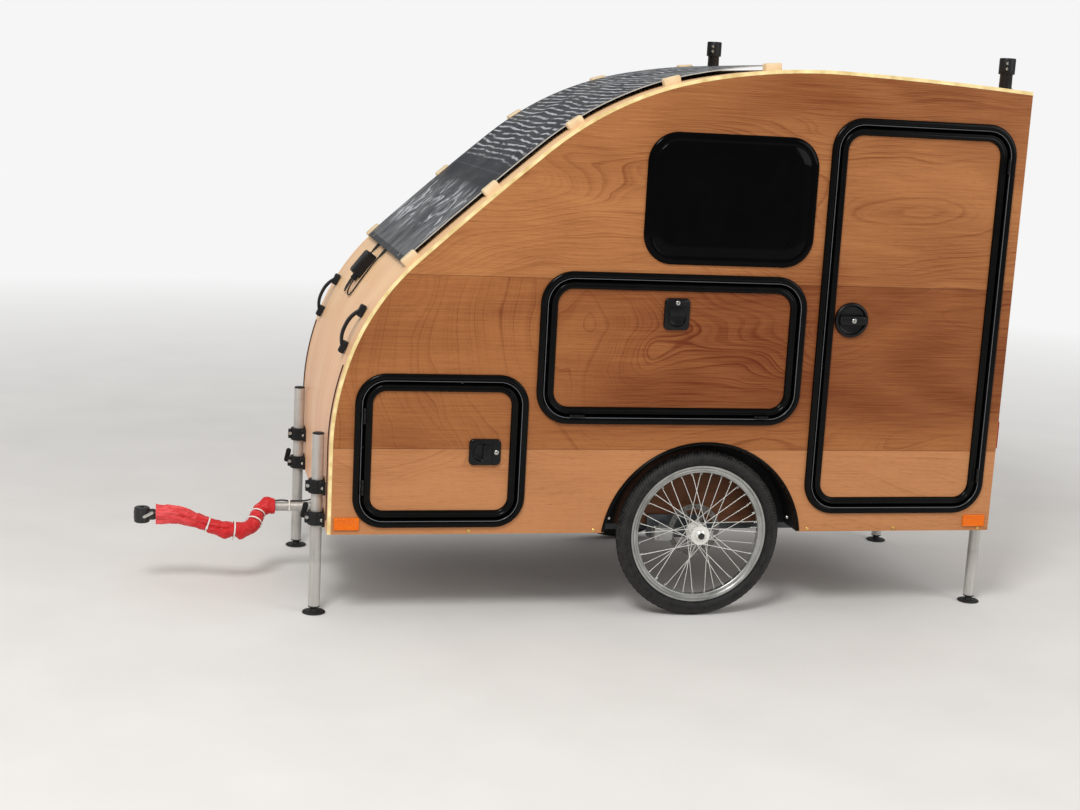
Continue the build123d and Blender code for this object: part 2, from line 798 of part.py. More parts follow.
# Amber reflectors on both sides and red lamps on the rear wall
with BuildPart() as side_reflectors:
    for top_y in (-half_width, half_width + reflector[2]):
        with BuildSketch(side_plane(top_y)):
            with Locations((front_x + reflector_front + reflector[0] / 2, reflector_height),
                           (rear_x - reflector_rear - reflector[0] / 2, reflector_height)):
                RectangleRounded(reflector[0], reflector[1], reflector_corner)
        extrude(amount=reflector[2])
side_reflectors.part.label = "side_reflectors"
export_step(side_reflectors.part, "parts/side_reflectors.step")

with BuildPart() as rear_lamps:
    with BuildSketch(Plane.YZ.offset(rear_x)):
        with Locations((half_width - lamp_inset, lamp_height), (lamp_inset - half_width, lamp_height)):
            RectangleRounded(lamp[0], lamp[1], lamp_corner)
    extrude(amount=lamp[2])
rear_lamps.part.label = "rear_lamps"
export_step(rear_lamps.part, "parts/rear_lamps.step")

# Wheels, turned about the axle: local x runs along it, local y away from it
wheel_plane = Plane(origin=(axle_x, 0, axle_z), x_dir=(0, 1, 0), z_dir=(1, 0, 0))
wheel_axis = Axis((axle_x, 0, axle_z), (0, 1, 0))
rim_profile = (
    (rim_width / 2, rim_radius),
    (rim_width / 2 - rim_flange, rim_radius),
    (rim_width / 2 - rim_flange, rim_seat),
    (rim_flange - rim_width / 2, rim_seat),
    (rim_flange - rim_width / 2, rim_radius),
    (-rim_width / 2, rim_radius),
    (-rim_width / 2, rim_seat - rim_flange),
    (-rim_bed_width / 2, rim_bed),
    (rim_bed_width / 2, rim_bed),
    (rim_width / 2, rim_seat - rim_flange),
)
bore = stub_radius + stub_clearance
flange_in = hub_flange_offset - hub_flange / 2
flange_out = hub_flange_offset + hub_flange / 2
hub_end = hub_cap_reach - hub_cap_wall
hub_profile = (
    (-hub_inner_reach, bore),
    (-hub_inner_reach, hub_barrel),
    (-flange_out, hub_barrel),
    (-flange_out, hub_flange_radius),
    (-flange_in, hub_flange_radius),
    (-flange_in, hub_barrel),
    (flange_in, hub_barrel),
    (flange_in, hub_flange_radius),
    (flange_out, hub_flange_radius),
    (flange_out, hub_barrel),
    (hub_cap_reach - hub_cap_edge[0], hub_barrel),
    (hub_cap_reach, hub_barrel - hub_cap_edge[1]),
    (hub_cap_reach, 0),
    (hub_end, 0),
    (hub_end, bore),
)


def turned(profile, side):
    with BuildSketch(wheel_plane) as face:
        with BuildLine():
            Polyline(*[(side * (wheel_centre_y + along), out) for along, out in profile], close=True)
        make_face()
    return face.sketch


def wheel_point(side, along, radius, angle):
    return Vector(
        axle_x + radius * sin(radians(angle)),
        side * (wheel_centre_y + along),
        axle_z + radius * cos(radians(angle)),
    )


for side_name, side in (("near", -1), ("far", 1)):
    tyre_y = side * wheel_centre_y
    with BuildPart() as tyre:
        with BuildSketch(wheel_plane):
            with Locations((tyre_y, tyre_radius - tyre_width / 2)):
                Circle(tyre_width / 2)
            shoulder = rim_width / 2 - rim_flange - tyre_fit
            below = rim_radius + tyre_fit - rim_bed
            for edge in (-1, 1):
                with Locations((tyre_y + edge * (shoulder + tyre_width / 2), rim_bed + below / 2)):
                    Rectangle(tyre_width, below, mode=Mode.SUBTRACT)
        revolve(axis=wheel_axis)
    tyre.part.label = f"tyre_{side_name}"
    export_step(tyre.part, f"parts/tyre_{side_name}.step")

    with BuildPart() as wheel_rim:
        revolve(turned(rim_profile, side), axis=wheel_axis)
    wheel_rim.part.label = f"rim_{side_name}"
    export_step(wheel_rim.part, f"parts/rim_{side_name}.step")

    spoke_planes = []
    for spoke in range(spoke_count):
        flange_side = 1 if spoke % 2 else -1
        lead = 1 if spoke // 2 % 2 else -1
        rim_angle = spoke * 360 / spoke_count
        flange_place = flange_side * (hub_flange_offset + lead * spoke_splay)
        start = wheel_point(side, flange_place, spoke_hole_radius, rim_angle + lead * spoke_lead)
        end = wheel_point(side, 0, rim_seat, rim_angle)
        spoke_planes.append(Plane(origin=start, z_dir=end - start))
    spoke_length = (end - start).length
    with BuildPart() as hub:
        revolve(turned(hub_profile, side), axis=wheel_axis)
        with BuildSketch(*spoke_planes):
            Circle(spoke_radius)
        extrude(amount=spoke_length)
        with BuildSketch(side_plane(tyre_y + rim_width)):
            with Locations((axle_x, axle_z)):
                Circle(rim_radius)
                Circle(rim_bed, mode=Mode.SUBTRACT)
        extrude(amount=2 * rim_width, mode=Mode.SUBTRACT)
    hub.part.label = f"spoked_hub_{side_name}"
    export_step(hub.part, f"parts/spoked_hub_{side_name}.step")

    disc_y = side * (wheel_centre_y - disc_offset)
    with BuildPart() as disc:
        with BuildSketch(side_plane(disc_y + disc_thickness / 2)):
            with Locations((axle_x, axle_z)):
                Circle(disc_radius)
                Circle(disc_radius - disc_ring, mode=Mode.SUBTRACT)
                with PolarLocations(disc_radius / 2, disc_arms):
                    Rectangle(disc_radius - disc_ring / 2, disc_arm)
                Circle(disc_carrier)
                Circle(hub_barrel + stub_clearance, mode=Mode.SUBTRACT)
                with PolarLocations(disc_radius - disc_ring / 2, disc_slots):
                    Circle(disc_hole, mode=Mode.SUBTRACT)
        extrude(amount=disc_thickness)
    disc.part.label = f"brake_disc_{side_name}"
    export_step(disc.part, f"parts/brake_disc_{side_name}.step")

# Brake callipers, bolted to the axle's plates and slotted round the discs
calliper_disc_y = wheel_centre_y - disc_offset
calliper_inner_y = plate_start_y + axle_plate
calliper_outer_y = calliper_disc_y + calliper_outer
slot = disc_thickness + 2 * calliper_gap
with BuildPart() as callipers:
    for side in (-1, 1):
        with BuildSketch(side_plane(max(side * calliper_inner_y, side * calliper_outer_y))):
            with Locations((axle_x - calliper_reach, axle_z - calliper_drop)):
                RectangleRounded(calliper_length, calliper_height, calliper_corner)
        extrude(amount=calliper_outer_y - calliper_inner_y)
        with BuildSketch(side_plane(side * calliper_disc_y + slot / 2)):
            with Locations((axle_x, axle_z)):
                Circle(disc_radius + calliper_gap)
        extrude(amount=slot, mode=Mode.SUBTRACT)
callipers.part.label = "brake_callipers"
export_step(callipers.part, "parts/brake_callipers.step")
print("hitch at", hitch_place, "axle at", axle_x)
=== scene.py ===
# Teardrop camper trailer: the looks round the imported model.
# Metres, +Z up. The drawbar points to -X and the wall with the door faces -Y (the near side).
# Profiles, plates, blocks and places on the side walls are in millimetres.
import math

import bpy
from mathutils import Matrix, Vector, noise


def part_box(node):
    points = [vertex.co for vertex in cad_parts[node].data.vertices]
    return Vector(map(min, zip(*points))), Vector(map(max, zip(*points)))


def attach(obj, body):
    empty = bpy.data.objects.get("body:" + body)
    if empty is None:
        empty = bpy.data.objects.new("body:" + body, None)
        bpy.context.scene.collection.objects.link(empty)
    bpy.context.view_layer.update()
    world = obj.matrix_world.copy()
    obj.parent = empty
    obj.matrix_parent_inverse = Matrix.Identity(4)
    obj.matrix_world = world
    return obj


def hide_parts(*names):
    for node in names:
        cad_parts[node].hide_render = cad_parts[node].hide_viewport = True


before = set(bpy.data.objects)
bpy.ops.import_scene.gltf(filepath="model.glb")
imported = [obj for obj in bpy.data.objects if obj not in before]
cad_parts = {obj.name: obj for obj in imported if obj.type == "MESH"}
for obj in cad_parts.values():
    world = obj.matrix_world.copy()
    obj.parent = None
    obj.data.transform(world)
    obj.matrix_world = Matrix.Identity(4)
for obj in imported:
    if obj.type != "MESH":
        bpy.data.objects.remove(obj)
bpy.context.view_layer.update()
bpy.ops.object.select_all(action="DESELECT")
print("frame loaded")

# outline of the body, the same numbers as the solids
shell = {
    "front": -0.7685,
    "rear": 1.2625,
    "bottom": 0.2655,
    "half": 0.475,
    "skin": 0.010,
    "shoulder": 0.513,
    "stations": ((0.051, 0.789), (0.221, 1.042), (0.582, 1.365), (1.0, 1.575), (1.449, 1.62), (2.031, 1.592)),
}
axle = Vector((0.3325, 0, 0.253))
sides = {"near": -1, "far": 1}


def at(x, y, z):
    return Matrix.Translation((x, y, z))


def turn(axis, degrees):
    return Matrix.Rotation(math.radians(degrees), 4, axis)


def towards(way, up="Y"):
    # turns local Z along a direction
    return way.to_track_quat("Z", up).to_matrix().to_4x4()


def mm(*numbers):
    return [number / 1000 for number in numbers]


def facing(side):
    # turns local Z outwards on a side, with local Y up
    return turn("Z", 180) @ turn("X", 90) if sides[side] > 0 else turn("X", 90)


def onWall(side, run, height, proud=0.0):
    # place on a side wall, by millimetres from the body's front and from the floor
    run, height, proud = mm(run, height, proud)
    return at(shell["front"] + run, sides[side] * (shell["half"] + proud), height) @ facing(side)


def roofArcs():
    # arcs that run on into each other: start along the skin, first point, first heading, radius
    arcs, run = [], 0.0
    here, heading = Vector((shell["front"], shell["shoulder"])), Vector((0, 1))
    for distance, height in shell["stations"]:
        there = Vector((shell["front"] + distance, height))
        chord = there - here
        half = math.atan2(heading.y * chord.x - heading.x * chord.y, heading.dot(chord))
        radius = chord.length / (2 * math.sin(half))
        arcs.append((run, here, heading, radius))
        run += 2 * half * radius
        heading = Matrix.Rotation(-2 * half, 2) @ heading
        here = there
    return arcs


arcsOfRoof = roofArcs()


def skinSpot(run, across, above=0.0):
    # place on the skin: local X up the slope, Y across, Z outwards
    for start, here, heading, radius in reversed(arcsOfRoof):
        if run >= start:
            break
    slope = Matrix.Rotation((start - run) / radius, 2) @ heading
    outward = Vector((-slope.y, slope.x))
    centre = here - Vector((-heading.y, heading.x)) * radius
    point = centre + outward * (radius + shell["skin"] + above)
    spot = Matrix.Identity(4)
    spot.col[0] = (slope.x, 0, slope.y, 0)
    spot.col[1] = (0, 1, 0, 0)
    spot.col[2] = (outward.x, 0, outward.y, 0)
    spot.col[3] = (point.x, across, point.y, 1)
    return spot


# camera at the photograph's place
viewpoint = {"place": (-1.2197, -4.9913, 1.5192), "yaw": 12.958, "down": 10.67, "roll": 3.027, "lens": 54.83}
bpy.ops.object.camera_add()
camera = bpy.context.object
camera.matrix_world = (at(*viewpoint["place"]) @ turn("Z", -viewpoint["yaw"])
                       @ turn("X", 90 - viewpoint["down"]) @ turn("Z", viewpoint["roll"]))
camera.data.lens = viewpoint["lens"]
camera.data.sensor_width = 36
bpy.context.scene.camera = camera

desk = {}  # the node tree in work


class Wire:
    # output of a node, to be reckoned with like a number
    def __init__(self, socket):
        self.socket = socket

    def __add__(self, other):
        return calc("ADD", self, other)

    def __sub__(self, other):
        return calc("SUBTRACT", self, other)

    def __rsub__(self, other):
        return calc("SUBTRACT", other, self)

    def __mul__(self, other):
        return calc("MULTIPLY", self, other)

    def __gt__(self, other):
        return calc("GREATER_THAN", self, other)

    def __lt__(self, other):
        return calc("LESS_THAN", self, other)

    def __abs__(self):
        return calc("ABSOLUTE", self)


def put(made, socket, value):
    if isinstance(value, Wire):
        desk["tree"].links.new(value.socket, made.inputs[socket])
    else:
        made.inputs[socket].default_value = value


def node(kind, values=None, out=0, **settings):
    made = desk["tree"].nodes.new("ShaderNode" + kind)
    for name, value in settings.items():
        setattr(made, name, value)
    for socket, value in (values or {}).items():
        put(made, socket, value)
    return Wire(made.outputs[out])


def calc(operation, first, second=0.0, clamp=False):
    return node("Math", {0: first, 1: second}, operation=operation, use_clamp=clamp)


def axesOf(where):
    made = node("SeparateXYZ", {0: where}).socket.node
    return [Wire(made.outputs[axis]) for axis in range(3)]


def tone(red, green, blue):
    # an eight bit colour as a shader reads it
    linear = [(c / 255 / 12.92) if c < 11 else ((c / 255 + 0.055) / 1.055) ** 2.4 for c in (red, green, blue)]
    return (*linear, 1.0)


def mixed(amount, first, second):
    # colours are wires or eight bit numbers
    colours = [tone(*colour) if isinstance(colour, tuple) else colour for colour in (first, second)]
    return node("Mix", {0: amount, 6: colours[0], 7: colours[1]}, 2, data_type="RGBA")


def speckle(where, stretch, detail=2.0, distortion=0.0):
    # noise on the object's own metres, stretched by spots per metre on each axis
    placed = node("Mapping", {"Vector": where, "Scale": stretch})
    return node("TexNoise", {"Vector": placed, "Scale": 1.0, "Detail": detail, "Distortion": distortion})


def spread(value, low, high, newLow=0.0, newHigh=1.0):
    return node("MapRange", {0: value, 1: low, 2: high, 3: newLow, 4: newHigh})


def newFinish(name, **sockets):
    material = bpy.data.materials.new(name)
    material.use_nodes = True
    desk["tree"] = material.node_tree
    for socket, value in sockets.items():
        put(material.node_tree.nodes["Principled BSDF"], socket.replace("_", " "), value)
    return material, node("TexCoord", out="Object")


def finished(material, colour, rough, height, strength, depth):
    # plugs in the colour, the roughness and a bump
    shader = material.node_tree.nodes["Principled BSDF"]
    put(shader, "Base Color", colour)
    put(shader, "Roughness", rough)
    put(shader, "Normal", node("Bump", {"Height": height, "Strength": strength, "Distance": depth}))
    return material


# boards of the side walls: three sheets above each other, each with its own figure
sideBoard = {
    "lowSeam": 0.516,
    "highSeam": 1.012,
    "upper": ((178, 118, 70), (112, 54, 16)),
    "middle": ((164, 104, 58), (98, 38, 4)),
    "lower": ((186, 127, 82), (142, 84, 44)),
    "rings": 52,
    "fineRings": 190,
    "upright": (-0.30, 0.50),
    # painted shade: black for the cut edges inside the openings, so the gaps round the leaves look dark
    "edge": (9, 8, 8),
}


def boardFinish(name, along="X"):
    # ring lines of the veneer: level where the grain is calm, upright and wavy towards the nose in the middle sheet
    material, where = newFinish(name, Specular_IOR_Level=0.2)
    x, y, z = axesOf(where)
    run = x if along == "X" else y
    upper, lower = z > sideBoard["highSeam"], z < sideBoard["lowSeam"]
    middle = 1.0 - (upper + lower)
    sheet = upper * 5.37 + lower * 9.81
    upright = middle * spread(run, *sideBoard["upright"], 1.0, 0.0)
    figures = []
    for alongScale, upScale, distortion in ((0.95, 2.9, 0.15), (2.7, 1.7, 0.5)):
        place = node("CombineXYZ", {0: run * alongScale, 1: sheet, 2: z * upScale})
        figures.append(node("TexNoise", {"Vector": place, "Scale": 1.0, "Detail": 2.0, "Roughness": 0.4,
                                         "Distortion": distortion}))
    level = z + figures[0] * spread(middle, 0, 1, 0.85, 1.15)
    tall = run + 0.84 + figures[1] * 0.85
    phase = level + upright * (tall - level) + speckle(where, (11, 11, 24)) * 0.010
    # rings of uneven width, each with its own strength
    phase += node("TexNoise", {"W": phase, "Scale": 13.0, "Detail": 2.0}, noise_dimensions="1D") * 0.085
    lines = []
    for count, power in ((sideBoard["rings"], 3.2), (sideBoard["fineRings"], 2.0)):
        ring, number = calc("FRACT", phase * count), calc("FLOOR", phase * count)
        strength = node("TexWhiteNoise", {"W": number}, "Value", noise_dimensions="1D")
        line = calc("POWER", ring, power) * spread(ring, 0.88, 1.0, 1.0, 0.0)
        lines.append(line * spread(strength, 0.1, 0.95, 0.12, 1.25))
    fibre = speckle(where, (6, 6, 420), 3.0)
    patches = speckle(where, (1.3, 1.3, 3.4), 2.0, 0.8)
    calm = spread(speckle(where, (1.7, 1.7, 4.1), 1.0), 0.38, 0.60, 0.15, 1.0)
    pores = spread(speckle(where, (34, 34, 1000), 1.0), 0.6, 0.72)
    shade = (lines[0] * 0.60 + lines[1] * 0.20) * calm + spread(patches, 0.32, 0.68, -0.12, 0.34)
    # partly veneer tone, partly painted shade of the uneven light: the boards darken towards the door, the top and the
    # middle of the hatch
    driftAndPaintedShade = spread(run, -0.1, 0.7, -0.04, 0.26) + spread(z, 1.38, 1.58, 0.0, 0.14)
    deep = spread(run, -0.22, 0.05, 0.0, 0.42) * spread(z, 0.54, 0.66)
    shade += driftAndPaintedShade * upper + deep * middle
    shade = calc("ADD", shade, spread(fibre, 0.3, 0.7, -0.16, 0.24), clamp=True)
    light, dark = (mixed(lower, mixed(upper, sideBoard["middle"][i], sideBoard["upper"][i]), sideBoard["lower"][i])
                   for i in (0, 1))
    colour = mixed(pores * 0.38, mixed(shade, light, dark), (84, 40, 18))
    for seam in (sideBoard["lowSeam"], sideBoard["highSeam"]):
        colour = mixed(spread(abs(z - seam), 0.0006, 0.0016, 0.5, 0.0), colour, (66, 32, 16))
    if along == "X":
        # painted shade in the gaps round the leaves: the cut edges inside the openings, between the outer and inner
        # faces, are black
        depth = abs(y)
        edge = (depth > 0.4574) * (depth < 0.47495)
        inside = (z > shell["bottom"] + 0.0004) * (run < shell["rear"] - 0.0004)
        colour = mixed(edge * inside, colour, sideBoard["edge"])
    return finished(material, colour, spread(fibre, 0.3, 0.7, 0.34, 0.5), fibre - pores * 0.6, 0.25, 0.0005)


skinLooks = {
    "face": ((254, 216, 166), (238, 184, 134)),
    "lowFace": ((253, 203, 158), (232, 168, 126)),
    "edge": ((247, 229, 168), (214, 184, 120)),
    "groove": (0.445, 0.458, 0.743),
}


def skinFinish(name):
    # pale sheet with its yellow cut edge and the groove near each edge of the front
    material, where = newFinish(name, Coat_Weight=0.15, Coat_Roughness=0.25)
    y, z = axesOf(where)[1:]
    offCentre = abs(y)
    streaks = speckle(where, (3, 95, 3), 3.0, 0.4)
    clouds = speckle(where, (2.2, 3.5, 2.2))
    shade = calc("ADD", spread(streaks, 0.3, 0.7, 0.0, 0.45), spread(clouds, 0.3, 0.7, 0.0, 0.6), clamp=True)
    low = spread(z, 0.45, 1.05)
    face = mixed(shade, *(mixed(low, skinLooks["lowFace"][i], skinLooks["face"][i]) for i in (0, 1)))
    across, bottom, top = skinLooks["groove"]
    groove = spread(abs(offCentre - across), 0.0012, 0.0024, 1.0, 0.0) * ((z > bottom) * (z < top))
    face = mixed(groove, face, (74, 36, 22))
    edge = mixed(spread(speckle(where, (26, 4, 26)), 0.3, 0.7), *skinLooks["edge"])
    colour = mixed(offCentre > shell["half"] - 0.0004, face, edge)
    return finished(material, colour, spread(streaks, 0.3, 0.7, 0.34, 0.5), streaks - groove * 4, 0.2, 0.0007)


# colour, worn colour, roughness from and to, spots per metre, height of the grain, metallic, specular
plainLooks = {
    # black of the frames; a painted highlight is added on the ring lip further down
    "frameBlackAndLipHighlight": ((2, 2, 2), (7, 7, 7), 0.14, 0.24, (40, 40, 40), 0.0001, 0, 0.12),
    "tintedPane": ((1, 1, 2), (4, 4, 5), 0.06, 0.12, (9, 9, 9), 0.0001, 0, 0.07),
    "blackPlastic": ((10, 10, 11), (30, 30, 32), 0.34, 0.52, (900, 900, 900), 0.0002, 0, 0.3),
    "latchBlack": ((5, 5, 6), (20, 20, 22), 0.2, 0.36, (300, 300, 300), 0.0001, 0, 0.25),
    "headBlack": ((18, 18, 19), (52, 50, 48), 0.3, 0.5, (120, 120, 120), 0.0002, 0, 0.5),
    "tubeGrey": ((200, 197, 191), (164, 162, 158), 0.34, 0.5, (160, 160, 7), 0.0001, 0.45, 0.5),
    "railGrey": ((84, 87, 91), (52, 54, 57), 0.38, 0.58, (9, 90, 90), 0.0001, 0.6, 0.5),
    "discSteel": ((120, 119, 116), (74, 73, 70), 0.3, 0.5, (120, 120, 120), 0.0001, 0.9, 0.5),
    "spokeSilver": ((240, 239, 234), (206, 205, 200), 0.2, 0.35, (200, 200, 200), 0.0001, 0.55, 0.5),
    "rimSilver": ((188, 189, 186), (122, 123, 120), 0.26, 0.42, (22, 300, 22), 0.0001, 0.9, 0.5),
    "steel": ((206, 205, 200), (150, 148, 144), 0.22, 0.4, (200, 200, 200), 0.0001, 1, 0.5),
    "brass": ((232, 202, 122), (176, 136, 62), 0.22, 0.42, (260, 260, 260), 0.0001, 1, 0.5),
    "footRubber": ((20, 20, 20), (46, 44, 42), 0.55, 0.8, (150, 150, 150), 0.0004, 0, 0.5),
    "cableBlack": ((12, 12, 12), (34, 34, 34), 0.3, 0.48, (200, 200, 200), 0.0001, 0, 0.5),
    "cleatWood": ((234, 212, 174), (206, 172, 126), 0.42, 0.6, (16, 160, 16), 0.0004, 0, 0.5),
    # painted shade: the wheel boards are a darker copy of the inner board, for the shade inside the wheel wells
    "wheelBoardPaintedShade": ((98, 60, 36), (62, 36, 20), 0.5, 0.7, (9, 120, 150), 0.0004, 0, 0.2),
    "innerBoard": ((110, 72, 42), (70, 42, 22), 0.45, 0.62, (9, 120, 150), 0.0005, 0, 0.5),
    "beadBrown": ((66, 32, 18), (38, 18, 11), 0.4, 0.6, (60, 60, 12), 0.0002, 0, 0.5),
    "tieWhite": ((238, 236, 230), (205, 202, 194), 0.35, 0.5, (200, 200, 200), 0.0001, 0, 0.5),
}


def plainFinish(name, fresh, worn, smooth, rough, spots, depth, metallic, specular):
    material, where = newFinish(name, Metallic=metallic, Specular_IOR_Level=specular)
    grain = speckle(where, spots, 3.0)
    wear = speckle(where, (14, 14, 14), 4.0, 0.5)
    amount = calc("ADD", spread(grain, 0.3, 0.75, 0.0, 0.55), spread(wear, 0.5, 0.8, 0.0, 0.7), clamp=True)
    return finished(material, mixed(amount, fresh, worn), spread(wear, 0.25, 0.75, smooth, rough), grain, 0.35, depth)


def fromAxle(x, y, z):
    ahead, above = x - axle.x, z - axle.z
    return calc("SQRT", ahead * ahead + above * above)


def tyreFinish(name):
    # rubber with fine rings on the sidewall, cuts on the shoulder and dust on the tread
    material, where = newFinish(name, Specular_IOR_Level=0.3)
    x, y, z = axesOf(where)
    out = fromAxle(x, y, z)
    around = calc("ARCTAN2", z - axle.z, x - axle.x)
    cuts = spread(calc("SINE", around * 156 + out * 420), -0.2, 0.4) * spread(out, 0.229, 0.236)
    dust = spread(speckle(where, (60, 60, 60), 4.0), 0.35, 0.75)
    colour = mixed(dust * spread(out, 0.243, 0.252, 0.35, 0.9), (15, 15, 16), (66, 64, 61))
    height = calc("SINE", out * 2100) * 0.3 + (dust + cuts * 2.0)
    colour = mixed(cuts * 0.22, colour, (78, 76, 73))
    return finished(material, colour, spread(dust, 0, 1, 0.5, 0.78), height, 0.4, 0.0006)


def wrapFinish(name):
    # red cloth tape: fine weave, folds paler where the cloth is stretched, faded towards the coupling
    material, where = newFinish(name, Sheen_Weight=0.15, Sheen_Roughness=0.4)
    weave = node("TexChecker", {"Vector": where, "Scale": 900.0}, 1)
    folds = speckle(where, (26, 60, 70), 4.0, 1.2)
    fade = speckle(where, (9, 14, 14))
    amount = spread(folds, 0.42, 0.72, 0.0, 0.8) + spread(fade, 0.5, 0.8, 0.0, 0.4)
    amount = calc("ADD", amount, spread(axesOf(where)[0], -1.215, -1.075, 0.30, -0.22), clamp=True)
    colour = mixed(amount, (206, 14, 22), (240, 92, 94))
    return finished(material, colour, spread(folds, 0.3, 0.7, 0.5, 0.75), weave * 0.12 + folds, 0.6, 0.0016)


def lensFinish(name, colour, deep):
    # moulded reflector: small prisms behind a clear face
    material, where = newFinish(name, Specular_IOR_Level=0.3)
    placed = node("Mapping", {"Vector": where, "Scale": (240, 240, 240)})
    cells = node("TexVoronoi", {"Vector": placed, "Scale": 1.0, "Randomness": 0.25})
    return finished(material, mixed(spread(cells, 0.0, 0.6), colour, deep), 0.16, cells, 0.5, 0.0012)


# the last four keys set the painted reflections on the film: their colour, where the ripples and blotches lie and how
# close the ripples run
panelLooks = {"cell": 0.125, "start": 0.560, "end": 1.806, "width": 0.810, "above": 0.012, "thick": 0.003,
              "border": 0.018, "waves": 0.0016, "cells": ((9, 10, 13), (27, 30, 40)), "silver": (200, 202, 206),
              "rippled": (0.40, 0.45), "reflectedBlotches": (0.24, 0.32), "reflectedRipples": 285}
panelReach = panelLooks["end"] - panelLooks["start"]


def filmFinish(name):
    # flexible solar film: dark cells and hairline gaps, with painted reflections: silver ripples up the slope and hazy
    # silver blotches at the low end
    material = newFinish(name, Specular_IOR_Level=0.04)[0]
    flat = node("UVMap", uv_map="sheet")
    across, run = axesOf(flat)[:2]
    gaps = [spread(calc("PINGPONG", axis, panelLooks["cell"] / 2), 0.0006, 0.0018, 1.0, 0.0)
            for axis in (across, run)]
    bus = spread(calc("PINGPONG", across + 0.0104, 0.0104), 0.0002, 0.0006, 0.4, 0.0)
    clouds = speckle(flat, (4, 7, 1), 3.0)
    streaks = speckle(flat, (70, 6, 1), 3.0)
    cell = mixed(spread(clouds, 0.3, 0.7), *panelLooks["cells"])
    cell = mixed(spread(streaks, 0.55, 0.75, 0.0, 0.35), cell, (92, 98, 110))
    colour = mixed(calc("MAXIMUM", calc("MAXIMUM", *gaps), bus) * 0.3, cell, (120, 124, 134))
    # painted reflection: wavy silver lines on the film where it slopes up
    bent = speckle(flat, (3.5, 8, 1), 3.0, 0.4) * 14
    ripple = calc("SINE", run * panelLooks["reflectedRipples"] + bent)
    thin = spread(ripple, 0.30, 0.90) * spread(speckle(flat, (11, 24, 1), 3.0), 0.36, 0.53)
    thin *= spread(run, *panelLooks["rippled"])
    # painted reflection: hazy grey and silver spots on the low end of the film
    low = spread(run, *panelLooks["reflectedBlotches"], 1.0, 0.0)
    spots = spread(speckle(flat, (15, 10, 1), 4.0, 1.4), 0.53, 0.60) * low * spread(run, 0.07, 0.13)
    hazyReflection = spread(speckle(flat, (16, 7, 1), 4.0, 1.0), 0.38, 0.56, 0.12, 0.72)
    colour = mixed(low * hazyReflection, colour, (112, 115, 117))
    colour = mixed(calc("MAXIMUM", thin, spots) * 0.8, colour, panelLooks["silver"])
    halfWidth, middle = panelLooks["width"] / 2, panelReach / 2
    rim = calc("MAXIMUM", abs(across) > halfWidth - panelLooks["border"],
               abs(run - middle) > middle - panelLooks["border"])
    colour = mixed(rim * 0.8, colour, (22, 23, 26))
    colour = mixed(abs(across) > halfWidth - 0.003, colour, (176, 176, 172))
    return finished(material, colour, spread(clouds, 0.3, 0.7, 0.22, 0.38), bent, 0.15, 0.002)


def recolour(name, measure, low, high, colour):
    # another colour where a distance, worked out from the object's axes, passes from low to high
    tree = desk["tree"] = finishes[name].node_tree
    shader = tree.nodes["Principled BSDF"]
    where = Wire(tree.nodes["Texture Coordinate"].outputs["Object"])
    before = Wire(shader.inputs["Base Color"].links[0].from_socket)
    put(shader, "Base Color", mixed(spread(measure(*axesOf(where)), low, high), before, colour))


finishes = {name: plainFinish(name, *looks) for name, looks in plainLooks.items()}
# painted highlight: a pale line along the raised lip of the door rings; painted shade: the wheel boards are black
# round the wheel
recolour("frameBlackAndLipHighlight", lambda x, y, z: abs(y), 0.4859, 0.4864, (112, 114, 118))
# painted shade: a black band on the wheel boards round the tyre
recolour("wheelBoardPaintedShade", fromAxle, 0.226, 0.246, (9, 8, 8))
finishes["sideBoard"] = boardFinish("sideBoard")
finishes["rearBoard"] = boardFinish("rearBoard", along="Y")
finishes["skinBoard"] = skinFinish("skinBoard")
finishes["tyreRubber"] = tyreFinish("tyreRubber")
finishes["redWrap"] = wrapFinish("redWrap")
finishes["amberLens"] = lensFinish("amberLens", (255, 160, 12), (222, 98, 2))
finishes["redLens"] = lensFinish("redLens", (214, 22, 18), (128, 6, 6))
finishes["solarFilm"] = filmFinish("solarFilm")
print("finishes made:", len(finishes))


def activate(piece):
    bpy.ops.object.select_all(action="DESELECT")
    piece.select_set(True)
    bpy.context.view_layer.objects.active = piece


def settle(piece, spot=None):
    # moves a piece to its place and leaves its object at the origin
    activate(piece)
    if spot is not None:
        piece.matrix_world = spot @ piece.matrix_world
    bpy.ops.object.transform_apply(location=True, rotation=True, scale=True)
    return piece


def opened(piece, kind="VERT"):
    # edit mode with everything selected
    activate(piece)
    bpy.ops.object.mode_set(mode="EDIT")
    bpy.ops.mesh.select_mode(type=kind)
    bpy.ops.mesh.select_all(action="SELECT")
    return piece


def closed(piece):
    bpy.ops.object.mode_set(mode="OBJECT")
    return piece


def clean(piece):
    opened(piece)
    bpy.ops.mesh.remove_doubles(threshold=0.00002)
    bpy.ops.mesh.normals_make_consistent(inside=False)
    return closed(piece)


def applied(piece, kind, **settings):
    # adds one modifier and applies it
    change = piece.modifiers.new("change", kind)
    for name, value in settings.items():
        setattr(change, name, value)
    activate(piece)
    bpy.ops.object.modifier_apply(modifier="change")
    return piece


def carved(piece, tool):
    applied(piece, "BOOLEAN", operation="DIFFERENCE", object=tool, solver="EXACT")
    discard(tool)
    return piece


